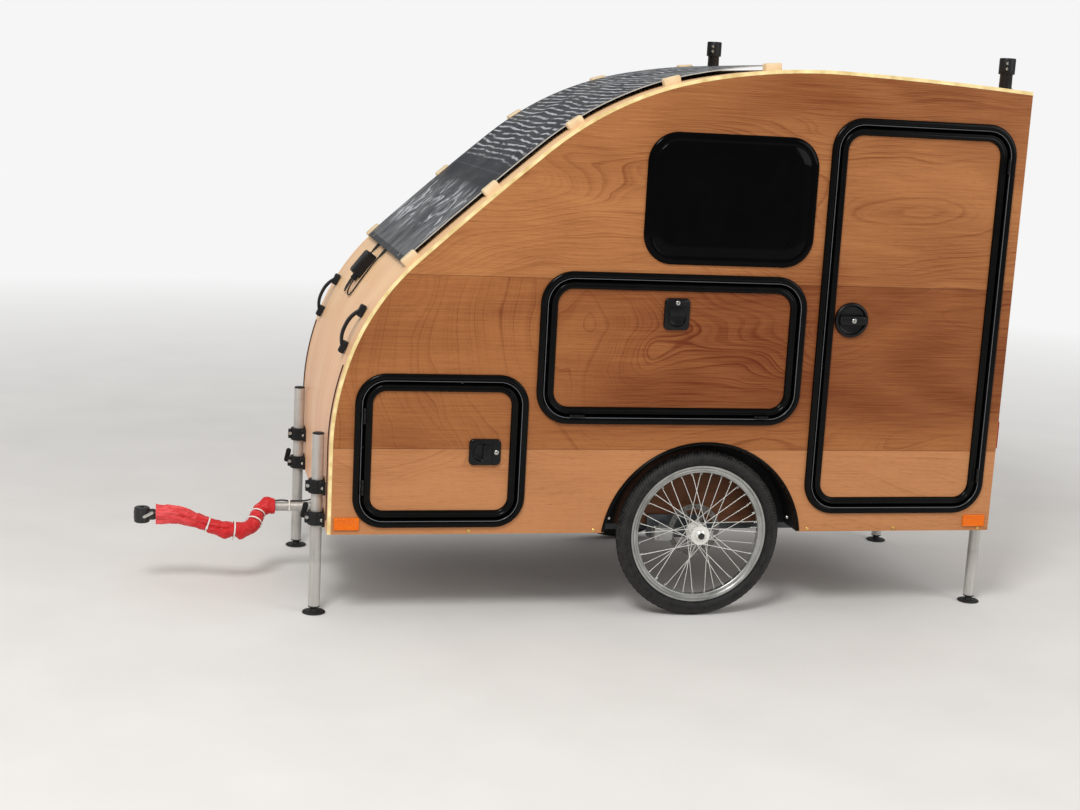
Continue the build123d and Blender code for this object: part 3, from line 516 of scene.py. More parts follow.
def terraced(outline, steps, hollow=False):
    # raises a flat outline by steps of (inset, rise); a frame loses its middle and gets an inner wall
    opened(outline, "FACE")
    for inset, rise in steps:
        inset, rise = mm(inset, rise)
        if inset == 0:
            bpy.ops.mesh.extrude_region_move(TRANSFORM_OT_translate={"value": (0, 0, rise)})
        else:
            bpy.ops.mesh.inset(thickness=inset, depth=rise)
    if hollow:
        bpy.ops.mesh.delete(type="FACE")
        bpy.ops.mesh.select_all(action="DESELECT")
        closed(outline)
        for face in outline.data.polygons:
            face.select = abs(face.center.z) < 0.00001 and abs(face.normal.z) > 0.9
        bpy.ops.object.mode_set(mode="EDIT")
        bpy.ops.mesh.delete(type="FACE")
        bpy.ops.mesh.select_mode(type="EDGE")
        bpy.ops.mesh.select_all(action="DESELECT")
        bpy.ops.mesh.select_non_manifold()
        bpy.ops.mesh.bridge_edge_loops()
    return clean(closed(outline))


def plate(width, height, corner, segments, steps, hollow=False):
    # raised plate with round corners
    bpy.ops.mesh.primitive_plane_add(size=1)
    outline = bpy.context.object
    outline.scale = mm(width, height, 1000)
    opened(settle(outline))
    bpy.ops.mesh.bevel(offset=corner / 1000, segments=segments, affect="VERTICES")
    return terraced(closed(outline), steps, hollow)


def disc(radius, sidesCount, steps):
    bpy.ops.mesh.primitive_circle_add(vertices=sidesCount, radius=radius / 1000, fill_type="NGON")
    return terraced(bpy.context.object, steps)


def turned(profile, steps=40):
    # draws a profile of (radius, height) by extruding corners and spins it about Z
    bpy.ops.mesh.primitive_plane_add(size=0.01)
    piece = opened(bpy.context.object)
    bpy.ops.mesh.merge(type="CENTER")
    bpy.ops.transform.translate(value=mm(profile[0][0], 0, profile[0][1]))
    for (r0, h0), (r1, h1) in zip(profile, profile[1:]):
        bpy.ops.mesh.extrude_vertices_move(TRANSFORM_OT_translate={"value": mm(r1 - r0, 0, h1 - h0)})
    bpy.ops.mesh.select_all(action="SELECT")
    bpy.ops.mesh.spin(steps=steps, angle=2 * math.pi, center=(0, 0, 0), axis=(0, 0, 1))
    return clean(closed(piece))


def repeated(piece, count):
    # copies the mesh round Z
    opened(piece)
    bpy.ops.mesh.spin(steps=count - 1, dupli=True, angle=2 * math.pi * (count - 1) / count, center=(0, 0, 0),
                      axis=(0, 0, 1))
    return closed(piece)


def block(size, centre, edge, segments=2):
    bpy.ops.mesh.primitive_cube_add(size=1)
    piece = bpy.context.object
    piece.scale = mm(*size)
    piece.location = mm(*centre)
    opened(settle(piece))
    bpy.ops.mesh.bevel(offset=edge / 1000, segments=segments, affect="EDGES")
    return closed(piece)


def discard(*pieces):
    for piece in pieces:
        bpy.data.objects.remove(piece, do_unlink=True)


def copied(piece, spot):
    # a copy at a place, with its own mesh
    twin = piece.copy()
    twin.data = piece.data.copy()
    bpy.context.scene.collection.objects.link(twin)
    return settle(twin, spot)


def copies(piece, spots):
    # the piece at each place
    twins = [copied(piece, spot) for spot in spots]
    discard(piece)
    return twins


def joined(pieces):
    activate(pieces[0])
    for piece in pieces:
        piece.select_set(True)
    bpy.ops.object.join()
    return pieces[0]


def deliver(parts, name, finish, slotName, *replaced, angle=32, body="body"):
    # one piece with its finish, the body it rides on and the nodes it stands for
    piece = joined(parts) if isinstance(parts, list) else parts
    piece.name = name
    piece.data.name = name
    if piece.type == "MESH":
        activate(piece)
        bpy.ops.object.shade_smooth_by_angle(angle=math.radians(angle))
    piece.data.materials.clear()
    piece.data.materials.append(finishes[finish])
    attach(piece, body)
    if replaced:
        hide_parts(*replaced)
    return piece


def dress(finish, *names):
    for name in names:
        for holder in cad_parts[name].material_slots:
            holder.material = finishes[finish]


def drawn(name, kind, count):
    # new curve with one spline of so many points, and its object
    line = bpy.data.curves.new(name, "CURVE")
    line.dimensions = "3D"
    run = line.splines.new(kind)
    (run.bezier_points if kind == "BEZIER" else run.points).add(count - 1)
    piece = bpy.data.objects.new(name, line)
    bpy.context.scene.collection.objects.link(piece)
    return piece, run


def roundBar(points, radius, resolution, kind="POLY"):
    piece, run = drawn("bar", kind, len(points))
    for corner, point in zip(run.points, points):
        corner.co = (*point, 1)
    if kind == "NURBS":
        run.order_u = 3
        run.use_endpoint_u = True
    piece.data.bevel_depth = radius
    piece.data.bevel_resolution = resolution
    piece.data.use_fill_caps = True
    return piece


def asMesh(piece):
    activate(piece)
    bpy.ops.object.convert(target="MESH")
    return clean(bpy.context.object)


# supply cables from the panel to the entry box: below the panel's edge, away from the box's middle, over the skin
cableLay = {
    "panelRun": 0.560,
    "boxAcross": 0.065,
    "thickness": 0.005,
    "near": ((29, 85, 6), (55, 85, 6), (85, 83, 4), (119, 84, 4), (156, 85, 4.5), (176, 65, 4.5), (176, 37, 7),
             (156, 17, 11), (130, 17, 11)),
    "far": ((29, 85, 6), (55, 85, 6), (85, 87, 4), (119, 86, 4), (156, 85, 4.5), (176, 65, 4.5), (176, 37, 7),
            (156, 17, 11), (130, 17, 11)),
}


def cableRoute(side):
    points = []
    for drop, away, above in cableLay[side]:
        across = cableLay["boxAcross"] + sides[side] * away / 1000
        points.append(skinSpot(cableLay["panelRun"] - drop / 1000, across, above / 1000).translation)
    return points


# name, node, length and route of each cable
cords = (
    ("cableFlexNear", "cable_near", 0.2369, cableRoute("near")),
    ("cableFlexFar", "cable_far", 0.2369, cableRoute("far")),
    ("lampCable", "drawbar_cable", 0.1491, (
        (-0.748, 0, 0.253), (-0.7705, 0, 0.253), (-0.7985, -0.0015, 0.2445), (-0.8285, 0.001, 0.2435),
        (-0.8565, -0.001, 0.2435), (-0.8745, 0, 0.2475), (-0.8955, 0, 0.244))),
)
for name, cordNode, length, route in cords:
    cable = roundBar(route, cableLay["thickness"] / 2, 5, "NURBS")
    cable.data.resolution_u = 12
    deliver(cable, name, "cableBlack", "cable_black", cordNode)
print("cables laid")

# frames of the doors: a ring on the wall and a rim on the leaf; the hinge is behind (1), in front (-1) or below (0)
frames = {
    "door": {"rear": 1996, "bottom": 322, "size": (582, 1180), "corner": 95, "hinge": 1, "sides": ("near",)},
    "hatch": {"rear": 1375, "bottom": 592, "size": (800, 442), "corner": 95, "hinge": 0, "sides": ("near",)},
    "locker": {"rear": 555, "bottom": 286, "size": (497, 446), "corner": 88, "hinge": -1, "sides": ("near", "far")},
}
frameShape = {
    "ring": ((0, 5.2), (0.7, 1.8), (1.6, 2), (3, 1.2), (5.2, 0.6), (5, -0.6), (2.2, -1.8), (1.6, 3.4), (2, -1.2),
             (1.6, -3.2), (1.2, -3), (0, -4.4)),
    "rim": ((0, 4.2), (0.6, 1.8), (1.4, 2.4), (2.4, 1.8), (2.6, -0.4), (2, -1.8), (3, 1.2), (4, 0.2), (3, -2.2),
            (1.6, -2.8), (0.8, -2.2), (0, -2.2)),
    "gap": 29,
}
# hinges: small knuckles between ring and rim
hinges = {"radius": 3.8, "half": 11, "space": 0.6, "inset": 120, "pivotOut": 16, "pivotIn": 26.5}


def middleOf(facts):
    width, height = facts["size"]
    return facts["rear"] - width / 2, facts["bottom"] + height / 2


def hingeSpots(facts, side):
    # middle of each hinge with the pin along local Z
    (x, z), (width, height) = middleOf(facts), facts["size"]
    inset, away, out = hinges["inset"], hinges["pivotIn"], hinges["pivotOut"]
    if facts["hinge"]:
        x += facts["hinge"] * (width / 2 - away)
        return [onWall(side, x, z + s * (height / 2 - inset), out) @ turn("X", -90) for s in (-1, 1)]
    z += away - height / 2
    return [onWall(side, x + s * (width / 2 - inset), z, out) @ turn("Y", 90) for s in (-1, 1)]


r, half = hinges["radius"], hinges["half"]
low, high = half + hinges["space"], 2 * half + hinges["space"]
knuckle = turned(((0, -half), (r * 0.8, -half), (r, 0.6 - half), (r, half - 0.6), (r * 0.8, half), (0, half)), 16)
cap = turned(((0, low), (r * 0.8, low), (r, low + 0.6), (r, high - 2), (r * 0.6, high), (0, high)), 16)
for name, facts in frames.items():
    (width, height), corner, gap = facts["size"], facts["corner"], frameShape["gap"]
    ring = plate(width, height, corner, 14, frameShape["ring"], hollow=True)
    rim = plate(width - 2 * gap, height - 2 * gap, corner - gap, 12, frameShape["rim"], hollow=True)
    for side in facts["sides"]:
        label, spot = f"{name}_{side}" if name == "locker" else name, onWall(side, *middleOf(facts))
        deliver(copied(ring, spot), label + "RingTrim", "frameBlackAndLipHighlight", "frame_black", label + "_ring", angle=50)
        deliver(copied(rim, spot), label + "RimTrim", "frameBlackAndLipHighlight", "frame_black", label + "_rim", angle=50,
                body=label)
        spots = hingeSpots(facts, side)
        caps = [copied(cap, spot @ turn("X", flip)) for spot in spots for flip in (180, 0)]
        deliver(caps, label + "HingeEnds", "latchBlack", "frame_black")
        knuckles = [copied(knuckle, spot) for spot in spots]
        deliver(knuckles, label + "HingeKnuckle", "latchBlack", "frame_black", body=label)
    discard(ring, rim)
discard(knuckle, cap)
print("door frames and hinges made")

# panes: domed dark acrylic with an inner ridge, and four catches seen through it
pane = {"rear": 1378, "bottom": 1061, "size": (514, 376), "corner": 88,
        "steps": ((0, 3.5), (1.2, 2.2), (3, 2.2), (6, 1.8), (12, 1.2), (2.5, -1.6), (2.5, 1.6), (30, 0.6)),
        "catches": ((-175, 118), (175, 118), (-175, -118), (175, -118)),
        "catch": ((0, 11.5), (2.2, 11.5), (3.6, 10.5), (4, 8.5), (0, 8.5))}
dome, catch = plate(*pane["size"], pane["corner"], 14, pane["steps"]), turned(pane["catch"], 20)
x, z = middleOf(pane)
for side in sides:
    deliver(copied(dome, onWall(side, x, z)), "pane" + side.title(), "tintedPane", "tinted_pane", "windows", angle=60)
    catches = [copied(catch, onWall(side, x + across, z + up)) for across, up in pane["catches"]]
    deliver(catches, "paneCatches" + side.title(), "latchBlack", "tinted_pane")
discard(dome, catch)
print("panes made")


def addKeys(size, spots):
    # lock cylinder with its slot on each latch
    cylinder = turned(((0, 0), (size, 0), (size, 2.2), (size * 0.86, 3), (size * 0.8, 2.2), (0, 2.2)), 28)
    slit = block((size * 0.22, size * 0.95, 1.6), (0, 0, 2.6), 0.3, 1)
    for label, spot in spots.items():
        deliver(copied(cylinder, spot), label + "Key", "steel", "hub_steel", body=label)
        deliver(copied(slit, spot), label + "KeySlit", "latchBlack", "black_plastic", body=label)
    discard(cylinder, slit)


# round door latch with a bar handle
roundLatch = {"place": (1518, 912), "radius": 52, "bar": (84, 27, 12), "key": 7.5, "keyAt": (0.002, 0, 0.0208),
              "steps": ((0, 6), (1.2, 2.6), (3, 2.2), (4, 0), (2.2, -2), (1.2, -4.8), (4, -1.2), (20, 0)),
              "barSteps": ((0, 15), (1.2, 1.6), (2, 1), (6, 0.3))}
latchSpot = onWall("near", *roundLatch["place"])
well = disc(roundLatch["radius"], 64, roundLatch["steps"])
bar = settle(plate(*roundLatch["bar"], 8, roundLatch["barSteps"]), at(0, 0, 0.003))
deliver(settle(joined([well, bar]), latchSpot), "doorHandle", "latchBlack", "black_plastic", "door_latch", angle=40,
        body="door")
addKeys(roundLatch["key"], {"door": latchSpot @ at(*roundLatch["keyAt"])})

# paddle latches: a plate, a cupped finger well with a curved lip, and the key
paddle = {"plate": (76, 92, 13, 6, ((0, 6), (1, 1.8), (2, 1.2))), "flap": (50, 26, 8, 6, ((0, 5), (1, 1.6), (3, 0.8))),
          "cup": (0.027, 0.025, 0.0072), "cupAt": (0, -0.012, 0.0092), "lip": (0.0215, 0.0205, 0.0016),
          "seam": ((66, 1.2, 1.2), (0, 21.5, 9.4), 0.3, 1), "flapAt": (0, 0.0065, 0.004), "key": 6.8,
          "keyAt": (0, 0.033, 0.0088),
          "places": {"hatch": ("near", 978, 918), "locker_near": ("near", 433, 508), "locker_far": ("far", 433, 508)}}


def paddleLatch():
    # upright, key at the top; local Z outwards
    base = plate(*paddle["plate"])
    bpy.ops.mesh.primitive_uv_sphere_add(radius=1, segments=40, ring_count=20)
    cup = bpy.context.object
    cup.scale = paddle["cup"]
    cup.location = paddle["cupAt"]
    carved(base, settle(cup))
    flap = settle(plate(*paddle["flap"]), at(*paddle["flapAt"]))
    (across, up, thickness), middle = paddle["lip"], Vector(paddle["cupAt"])
    arc = [math.pi * (1 + i / 12) for i in range(13)]
    lip = roundBar([middle + Vector((across * math.cos(a), up * math.sin(a), 0)) for a in arc], thickness, 3)
    return joined([base, flap, block(*paddle["seam"]), asMesh(lip)])


paddleSpots = {label: onWall(*place) for label, place in paddle["places"].items()}
for side in sides:
    paddleSpots["locker_" + side] @= turn("Z", 90 * sides[side])
for label, latch in zip(paddleSpots, copies(paddleLatch(), paddleSpots.values())):
    deliver(latch, label + "Paddle", "latchBlack", "black_plastic", label + "_latch", angle=40, body=label)
addKeys(paddle["key"], {label: spot @ at(*paddle["keyAt"]) for label, spot in paddleSpots.items()})
print("latches made")

# wheels: casing with knobs, rim with groove, nipples, hub cap, all turned about local Z
wheelShape = {
    "track": 0.440,
    "casing": ((203.6, 0), (203.6, 9.8), (210.4, 9.9), (212.8, 18.8), (219, 23.2), (226.5, 24.6), (234.5, 23.6),
               (241, 20.4), (246.2, 15.6), (249.2, 10), (250.8, 4.8), (251.2, 0)),
    "rim": ((187, 5.6), (187.6, 7.8), (190.5, 10), (193.2, 10.2), (194.6, 7.8), (200, 8.2), (202.2, 10.4), (204, 13),
            (209.2, 13), (210, 12), (209.8, 10.8), (203, 9.8), (203, 0)),
    # radius, height, lean, shift and size of each row of knobs
    "rows": ((251, 0, 0, 0, (3.6, 10, 8.5)), (249, 8.5, -24, 0.5, (3.6, 12, 7.5)),
             (249, -8.5, 24, 0.5, (3.6, 12, 7.5)), (243.4, 16.8, -52, 0, (3.4, 9, 6)),
             (243.4, -16.8, 52, 0, (3.4, 9, 6))),
    "knobs": 78,
    "nipple": ((0, 0), (2.1, 0), (2.1, 7), (1.5, 8.5), (0, 8.5)),
    "nipples": 36,
    "nippleOut": 0.1872,
    "valveOut": 0.1880,
    "valve": ((0, 0), (3, 0), (3, 6), (4.2, 6.5), (4.2, 20), (3.6, 21.5), (2.5, 22), (2.5, 30), (0, 30)),
    "cap": ((0, 40.2), (6, 40), (9.8, 38.6), (11.2, 36.4), (11.2, 34), (0, 34)),
}


def mirrored(half):
    # closes a half profile over its middle plane
    return half + tuple((r, -h) for r, h in reversed(half[:-1])) + half[:1]


def makeTyre():
    parts = [turned(mirrored(wheelShape["casing"]), 120)]
    count = wheelShape["knobs"]
    for out, height, lean, shift, size in wheelShape["rows"]:
        knob = settle(block(size, (0, 0, 0), 0.8, 1), turn("Z", shift * 360 / count) @ at(*mm(out, 0, height))
                      @ turn("Y", lean))
        parts.append(repeated(knob, count))
    return joined(parts)


def makeRim():
    band = turned(mirrored(wheelShape["rim"]), 120)
    nipple = settle(turned(wheelShape["nipple"], 10), at(wheelShape["nippleOut"], 0, 0) @ turn("Y", -90))
    valveSpot = turn("Z", 5) @ at(wheelShape["valveOut"], 0, 0) @ turn("Y", -90)
    valve = settle(turned(wheelShape["valve"], 16), valveSpot)
    return joined([band, repeated(nipple, wheelShape["nipples"]), valve])


tyre, rim, cap = makeTyre(), makeRim(), turned(wheelShape["cap"], 32)
for side in sides:
    spot = at(axle.x, sides[side] * wheelShape["track"], axle.z) @ facing(side)
    label, wheel = side.title(), "wheel_" + side
    deliver(copied(tyre, spot), "tyreTread" + label, "tyreRubber", "tyre", f"tyre_{side}", angle=40, body=wheel)
    deliver(copied(rim, spot), "rimBand" + label, "rimSilver", "rim_silver", f"rim_{side}", angle=40, body=wheel)
    deliver(copied(cap, spot), "hubCap" + label, "headBlack", "black_plastic", body=wheel)
    dress("spokeSilver", f"spoked_hub_{side}")
    dress("discSteel", f"brake_disc_{side}")
discard(tyre, rim, cap)
print("wheels made")

# arch trims: a half-round bead round each arch, and two screws
archTrim = {"radius": 0.303, "drop": 0.025, "bead": 0.009, "proud": 0.006, "foot": 0.003,
            "screws": (821.5, 1380.5), "screwHeight": 302, "screwDepth": 30.5,
            "head": ((0, 0), (4.5, 0), (4.5, 1.2), (3, 2.6), (0, 3))}


def archBead(side):
    centre, middle = axle.z - archTrim["drop"], archTrim["radius"] + archTrim["bead"] / 2
    low = math.asin((shell["bottom"] + archTrim["foot"] - centre) / middle)
    points = []
    for step in range(65):
        angle = low + (math.pi - 2 * low) * step / 64
        points.append((axle.x + middle * math.cos(angle), 0, centre + middle * math.sin(angle)))
    bead = opened(asMesh(roundBar(points, archTrim["bead"] / 2, 4)))
    bpy.ops.transform.resize(value=(1, archTrim["proud"] / archTrim["bead"] * 2, 1), center_override=(0, 0, 0))
    bpy.ops.mesh.bisect(plane_co=(0, 0, 0), plane_no=(0, -sides[side], 0), use_fill=True, clear_outer=True)
    return clean(settle(closed(bead), at(0, sides[side] * shell["half"], 0)))


for side in sides:
    deliver(archBead(side), "archBead" + side.title(), "frameBlackAndLipHighlight", "frame_black", "arch_trims", angle=50)
    spots = [onWall(side, run, archTrim["screwHeight"], -archTrim["screwDepth"]) for run in archTrim["screws"]]
    deliver(copies(turned(archTrim["head"], 20), spots), "archScrews" + side.title(), "steel", "hub_steel")
print("arches trimmed")

# screw heads along the bottom edge, and the side reflectors
screwRow = {"runs": (396.5, 767.5, 1435.5, 1716, 1996.5), "height": 273.5, "radius": 5.2,
            "steps": ((0, 1), (0.9, 0.9), (1.6, 0.6), (0.8, -1))}
reflectorShape = {"runs": (44, 1979), "height": 297, "size": (72, 36, 4),
                  "steps": ((0, 4.4), (0.7, 1.2), (1.2, 0.9), (1.2, -0.6))}
screw = disc(screwRow["radius"], 20, screwRow["steps"])
lens = plate(*reflectorShape["size"], 4, reflectorShape["steps"])
for side in sides:
    screws = [copied(screw, onWall(side, run, screwRow["height"])) for run in screwRow["runs"]]
    deliver(screws, "edgeScrews" + side.title(), "brass", "hub_steel")
    lenses = [copied(lens, onWall(side, run, reflectorShape["height"])) for run in reflectorShape["runs"]]
    deliver(lenses, "reflectors" + side.title(), "amberLens", "amber_lens", "side_reflectors")
discard(screw, lens)

# rear lamps: a base and a smaller lens
lampShape = {"size": (60, 96), "lensSize": (54, 90), "proud": 0.0065, "y": 0.420, "z": 0.560,
             "base": ((0, 6), (1.5, 1)), "lens": ((0, 10), (1.6, 3), (3, 1.8), (2.2, 0.4))}
spots = [at(shell["rear"], sign * lampShape["y"], lampShape["z"]) @ turn("Z", 90) @ turn("X", 90) for sign in (-1, 1)]
bases = copies(plate(*lampShape["size"], 10, 6, lampShape["base"]), spots)
deliver(bases, "lampBases", "blackPlastic", "red_lens", "rear_lamps")
spots = [spot @ at(0, 0, lampShape["proud"]) for spot in spots]
lenses = copies(plate(*lampShape["lensSize"], 8, 6, lampShape["lens"]), spots)
deliver(lenses, "lampLenses", "redLens", "red_lens", "rear_lamps")
print("lights made")

# legs: feet, plugs, clamps with bolts and levers
legShape = {
    "offset": 0.021, "across": 0.360, "clampHeights": (0.287, 0.381), "clear": 0.0004,
    "plug": ((0, 0), (17.2, 0), (17.4, 0.8), (17, 2.6), (15, 3.6), (0, 4)),
    "foot": ((0, 0), (30, 0), (33.5, 1.2), (34, 2.8), (32.5, 4.2), (22, 5.6), (13.5, 7.8), (11.2, 10.5), (11, 14.5),
             (13, 16.8), (16.8, 18), (17, 21.8), (0, 21.8)),
    "clamp": ((17.6, -19), (18.6, -20), (24.5, -20), (26, -18.5), (26, -6), (24.8, -5), (24.8, 5), (26, 6),
              (26, 18.5), (24.5, 20), (18.6, 20), (17.6, 19), (17.6, -19)),
    "screw": ((0, 0), (6.5, 0), (6.5, 1), (4.8, 1.2), (4.8, 4.2), (4, 4.8), (2.4, 4.8), (2.2, 3), (0, 3)),
    "bolt": ((0, -11.2), (5, -11.2), (5.8, -10), (5.8, -8.8), (2.6, -8.8), (2.6, 8.8), (5.8, 8.8), (5.8, 11.5),
             (5, 12.5), (0, 12.5)),
    "lever": (16, 46, 7, 6, ((0, 5), (1.2, 1.2), (2.5, 0.6))),
    "leverAt": (0.0335, -0.0125, 0.018),
    "boltAt": (0.028, 0, 0.002),
    "screwAt": (-0.0128, 0.0365),
    # blocks of a clamp: size, middle, rounding and its steps; ears and pads are on both sides
    "back": ((8, 84, 40), (-16.8, 0, 0), 2, 2),
    "ear": ((14, 6.5, 30), (27, 5.5, 0), 2.2, 2),
    "pad": ((20, 13, 36), (-11, 26, 0), 4, 3),
}
frontLeg, rearLeg = shell["front"] - shell["skin"] - legShape["offset"], shell["rear"] + legShape["offset"]
legs = {f"{end}_{side}": (x, sides[side]) for end, x in (("front", frontLeg), ("rear", rearLeg)) for side in sides}


def makeClamp(lever):
    # local X away from the wall, tube along Z; returns plastic and steel
    ring = opened(turned(legShape["clamp"], 48))
    bpy.ops.mesh.bisect(plane_co=(legShape["clear"] - legShape["offset"], 0, 0), plane_no=(-1, 0, 0), use_fill=True,
                        clear_outer=True)
    plastic, steel = [closed(ring), block(*legShape["back"])], []
    ahead, aside = legShape["screwAt"]
    for s in (-1, 1):
        for name in ("ear", "pad"):
            size, (x, y, z), edge, segments = legShape[name]
            plastic.append(block(size, (x, s * y, z), edge, segments))
        steel.append(settle(turned(legShape["screw"], 24), at(ahead, s * aside, 0) @ turn("Y", 90)))
    steel.append(settle(turned(legShape["bolt"], 24), at(*legShape["boltAt"]) @ turn("X", 90)))
    if lever:
        armSpot = at(*legShape["leverAt"]) @ turn("Y", -12) @ turn("X", 90)
        plastic.append(settle(plate(*legShape["lever"]), armSpot))
    return joined(plastic), joined(steel)


foot, plug = turned(legShape["foot"]), turned(legShape["plug"])
for name, (x, sign) in legs.items():
    y, leg = sign * legShape["across"], "leg_" + name
    deliver(copied(foot, at(x, y, 0)), "footPad_" + name, "footRubber", "foot_rubber", "foot_" + name, angle=40,
            body=leg)
    top = at(x, y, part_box(leg)[1][2])
    deliver(copied(plug, top), "tubePlug_" + name, "blackPlastic", "black_plastic", angle=40, body=leg)
    dress("tubeGrey", leg)
discard(foot, plug)
clampPlastic, clampSteel = [], []
lowClamp = legShape["clampHeights"][0]
for lever in (False, True):
    # only the front legs' lower clamps have a lever
    spots = [at(x, sign * legShape["across"], z) @ turn("Z", 180 if x < 0 else 0)
             for x, sign in legs.values() for z in legShape["clampHeights"] if (x < 0 and z == lowClamp) == lever]
    plastic, steel = makeClamp(lever)
    clampPlastic += copies(plastic, spots)
    clampSteel += copies(steel, spots)
deliver(clampPlastic, "clampBodies", "blackPlastic", "black_plastic", "leg_clamps", angle=40)
deliver(clampSteel, "clampBolts", "steel", "hub_steel", angle=40)
print("legs made")

# grab handles: a bowed strap between two end blocks
handleShape = {"run": 0.331, "across": 0.375, "span": 115, "block": (36, 30, 16), "strap": 9, "bow": 34}


def makeHandle():
    span, bow, strap = handleShape["span"], handleShape["bow"], handleShape["strap"]
    length, width, height = handleShape["block"]
    bpy.ops.mesh.primitive_grid_add(x_subdivisions=25, y_subdivisions=1, size=1)
    band = bpy.context.object
    band.scale = mm(span + 12, width - 8, 1000)
    settle(band)
    for corner in band.data.vertices:
        share = min(1.0, abs(corner.co.x) / (span / 2000))
        corner.co.z = (bow - strap - (bow - height + 2) * share ** 2.4) / 1000
    applied(band, "SOLIDIFY", thickness=(strap - 0.4) / 1000, offset=1)
    applied(band, "BEVEL", width=0.0022, segments=3, limit_method="ANGLE")
    end = plate(length, width, 4, 4, ((0, height - 4.2), (1, 2.2), (2.2, 1.6)))
    return joined([clean(band), *copies(end, [at(sign * span / 2000, 0, 0.0002) for sign in (-1, 1)])])


handles = copies(makeHandle(), [skinSpot(handleShape["run"], sign * handleShape["across"]) for sign in (-1, 1)])
deliver(handles, "grabStraps", "blackPlastic", "black_plastic", "grab_handles", angle=40)
print("handles made")

# dark bead down the front skin beside each edge
skinBead = {"across": 0.445, "bottom": 0.300, "topRun": 0.236, "thickness": 0.0072}
points = [(shell["front"] - shell["skin"], 0, skinBead["bottom"] + i * 0.07) for i in range(4)]
points += [skinSpot(i * skinBead["topRun"] / 12, 0).translation for i in range(13)]
bead = asMesh(roundBar(points, skinBead["thickness"] / 2, 3))
beads = copies(bead, [at(0, sign * skinBead["across"], 0) for sign in (-1, 1)])
deliver(beads, "skinBeads", "beadBrown", "ply_inner", angle=50)

# cleats: small rounded blocks of wood that hold the film
cleatShape = {"first": 0.583, "step": 0.300, "count": 5, "size": (50, 34, 7), "across": 0.422,
              "steps": ((0, 17), (1.2, 2.2), (2.2, 1.2), (2.4, 0.4))}
runs = [cleatShape["first"] + number * cleatShape["step"] for number in range(cleatShape["count"])]
spots = [skinSpot(run, sign * cleatShape["across"]) @ at(0, 0, -0.0001) for run in runs for sign in (-1, 1)]
cleatBlocks = copies(plate(*cleatShape["size"], 5, cleatShape["steps"]), spots)
deliver(cleatBlocks, "cleatBlocks", "cleatWood", "cleat_wood", "cleats", angle=40)


def makeFilm():
    # a flat sheet, bent over the roof by its own distances and rippled between the cleats
    bpy.ops.mesh.primitive_grid_add(x_subdivisions=60, y_subdivisions=110, size=1)
    film = bpy.context.object
    sheet = film.data.uv_layers[0]
    sheet.name = "sheet"
    width = panelLooks["width"]
    flat = [(v.co.x * width, (v.co.y + 0.5) * panelReach) for v in film.data.vertices]
    for loop in film.data.loops:
        sheet.data[loop.index].uv = flat[loop.vertex_index]
    for corner, (across, run) in zip(film.data.vertices, flat):
        ripple = noise.noise(Vector((across * 4.0, run * 15.0, 2.7)))
        ripple += 0.5 * noise.noise(Vector((across * 9.0, run * 36.0, 8.1)))
        hold = min(1.0, (width / 2 - abs(across)) / 0.05, run / 0.03, (panelReach - run) / 0.03)
        wave = ripple * panelLooks["waves"] * (0.25 + 0.75 * max(0.0, hold))
        above = panelLooks["above"] + panelLooks["thick"] + wave
        corner.co = skinSpot(panelLooks["start"] + run, -across, above).translation
    opened(applied(film, "SOLIDIFY", thickness=panelLooks["thick"], offset=-1))
    bpy.ops.mesh.normals_make_consistent(inside=False)
    return closed(film)


deliver(makeFilm(), "solarFilm", "solarFilm", "solar_cell", "solar_panel", angle=60)
eyeletShape = {"across": (-0.386, -0.30, 0.30, 0.386), "run": 0.571, "above": 0.0146,
               "ring": ((3.2, 0), (6.5, 0), (6.5, 0.8), (5, 1.8), (3.2, 0.8), (3.2, 0))}
spots = [skinSpot(eyeletShape["run"], across, eyeletShape["above"]) for across in eyeletShape["across"]]
eyelets = copies(turned(eyeletShape["ring"], 24), spots)
deliver(eyelets, "filmEyelets", "steel", "hub_steel", angle=40)
print("film laid")

# cable entry box with its lid and glands, and the tapered reliefs under the film
entryShape = {"drop": 0.076, "size": (84, 66, 12),
              "steps": ((0, 20), (1.2, 0), (0, 1.6), (-0.8, 0), (0, 8), (1.6, 2.6), (4, 1.4)),
              "nut": ((0, -1), (7, -1), (7.8, 1.5), (7.8, 7), (6.6, 8.2), (6.6, 10), (7.9, 11.2), (7.9, 20), (0, 20)),
              "relief": ((0, 0), (3, 0), (3.4, 4), (4.4, 16), (4.9, 30), (4.9, 34.5), (0, 34.5))}
entrySpot = skinSpot(cableLay["panelRun"] - entryShape["drop"], cableLay["boxAcross"])
routes = [cableRoute(side) for side in sides]
nutSpots = [at(*route[-1]) @ towards((route[-1] - route[-2]).normalized()) for route in routes]
entryParts = [settle(plate(*entryShape["size"], 6, entryShape["steps"]), entrySpot)]
entryParts += copies(turned(entryShape["nut"], 12), nutSpots)
reliefSpots = [at(*route[0]) @ towards((route[0] - route[1]).normalized()) for route in routes]
reliefs = copies(turned(entryShape["relief"], 20), reliefSpots)
deliver(entryParts, "entryBox", "blackPlastic", "black_plastic", "cable_entry", angle=35)
deliver(reliefs, "cableReliefs", "cableBlack", "black_plastic", "panel_glands", angle=40)
print("cable entry made")

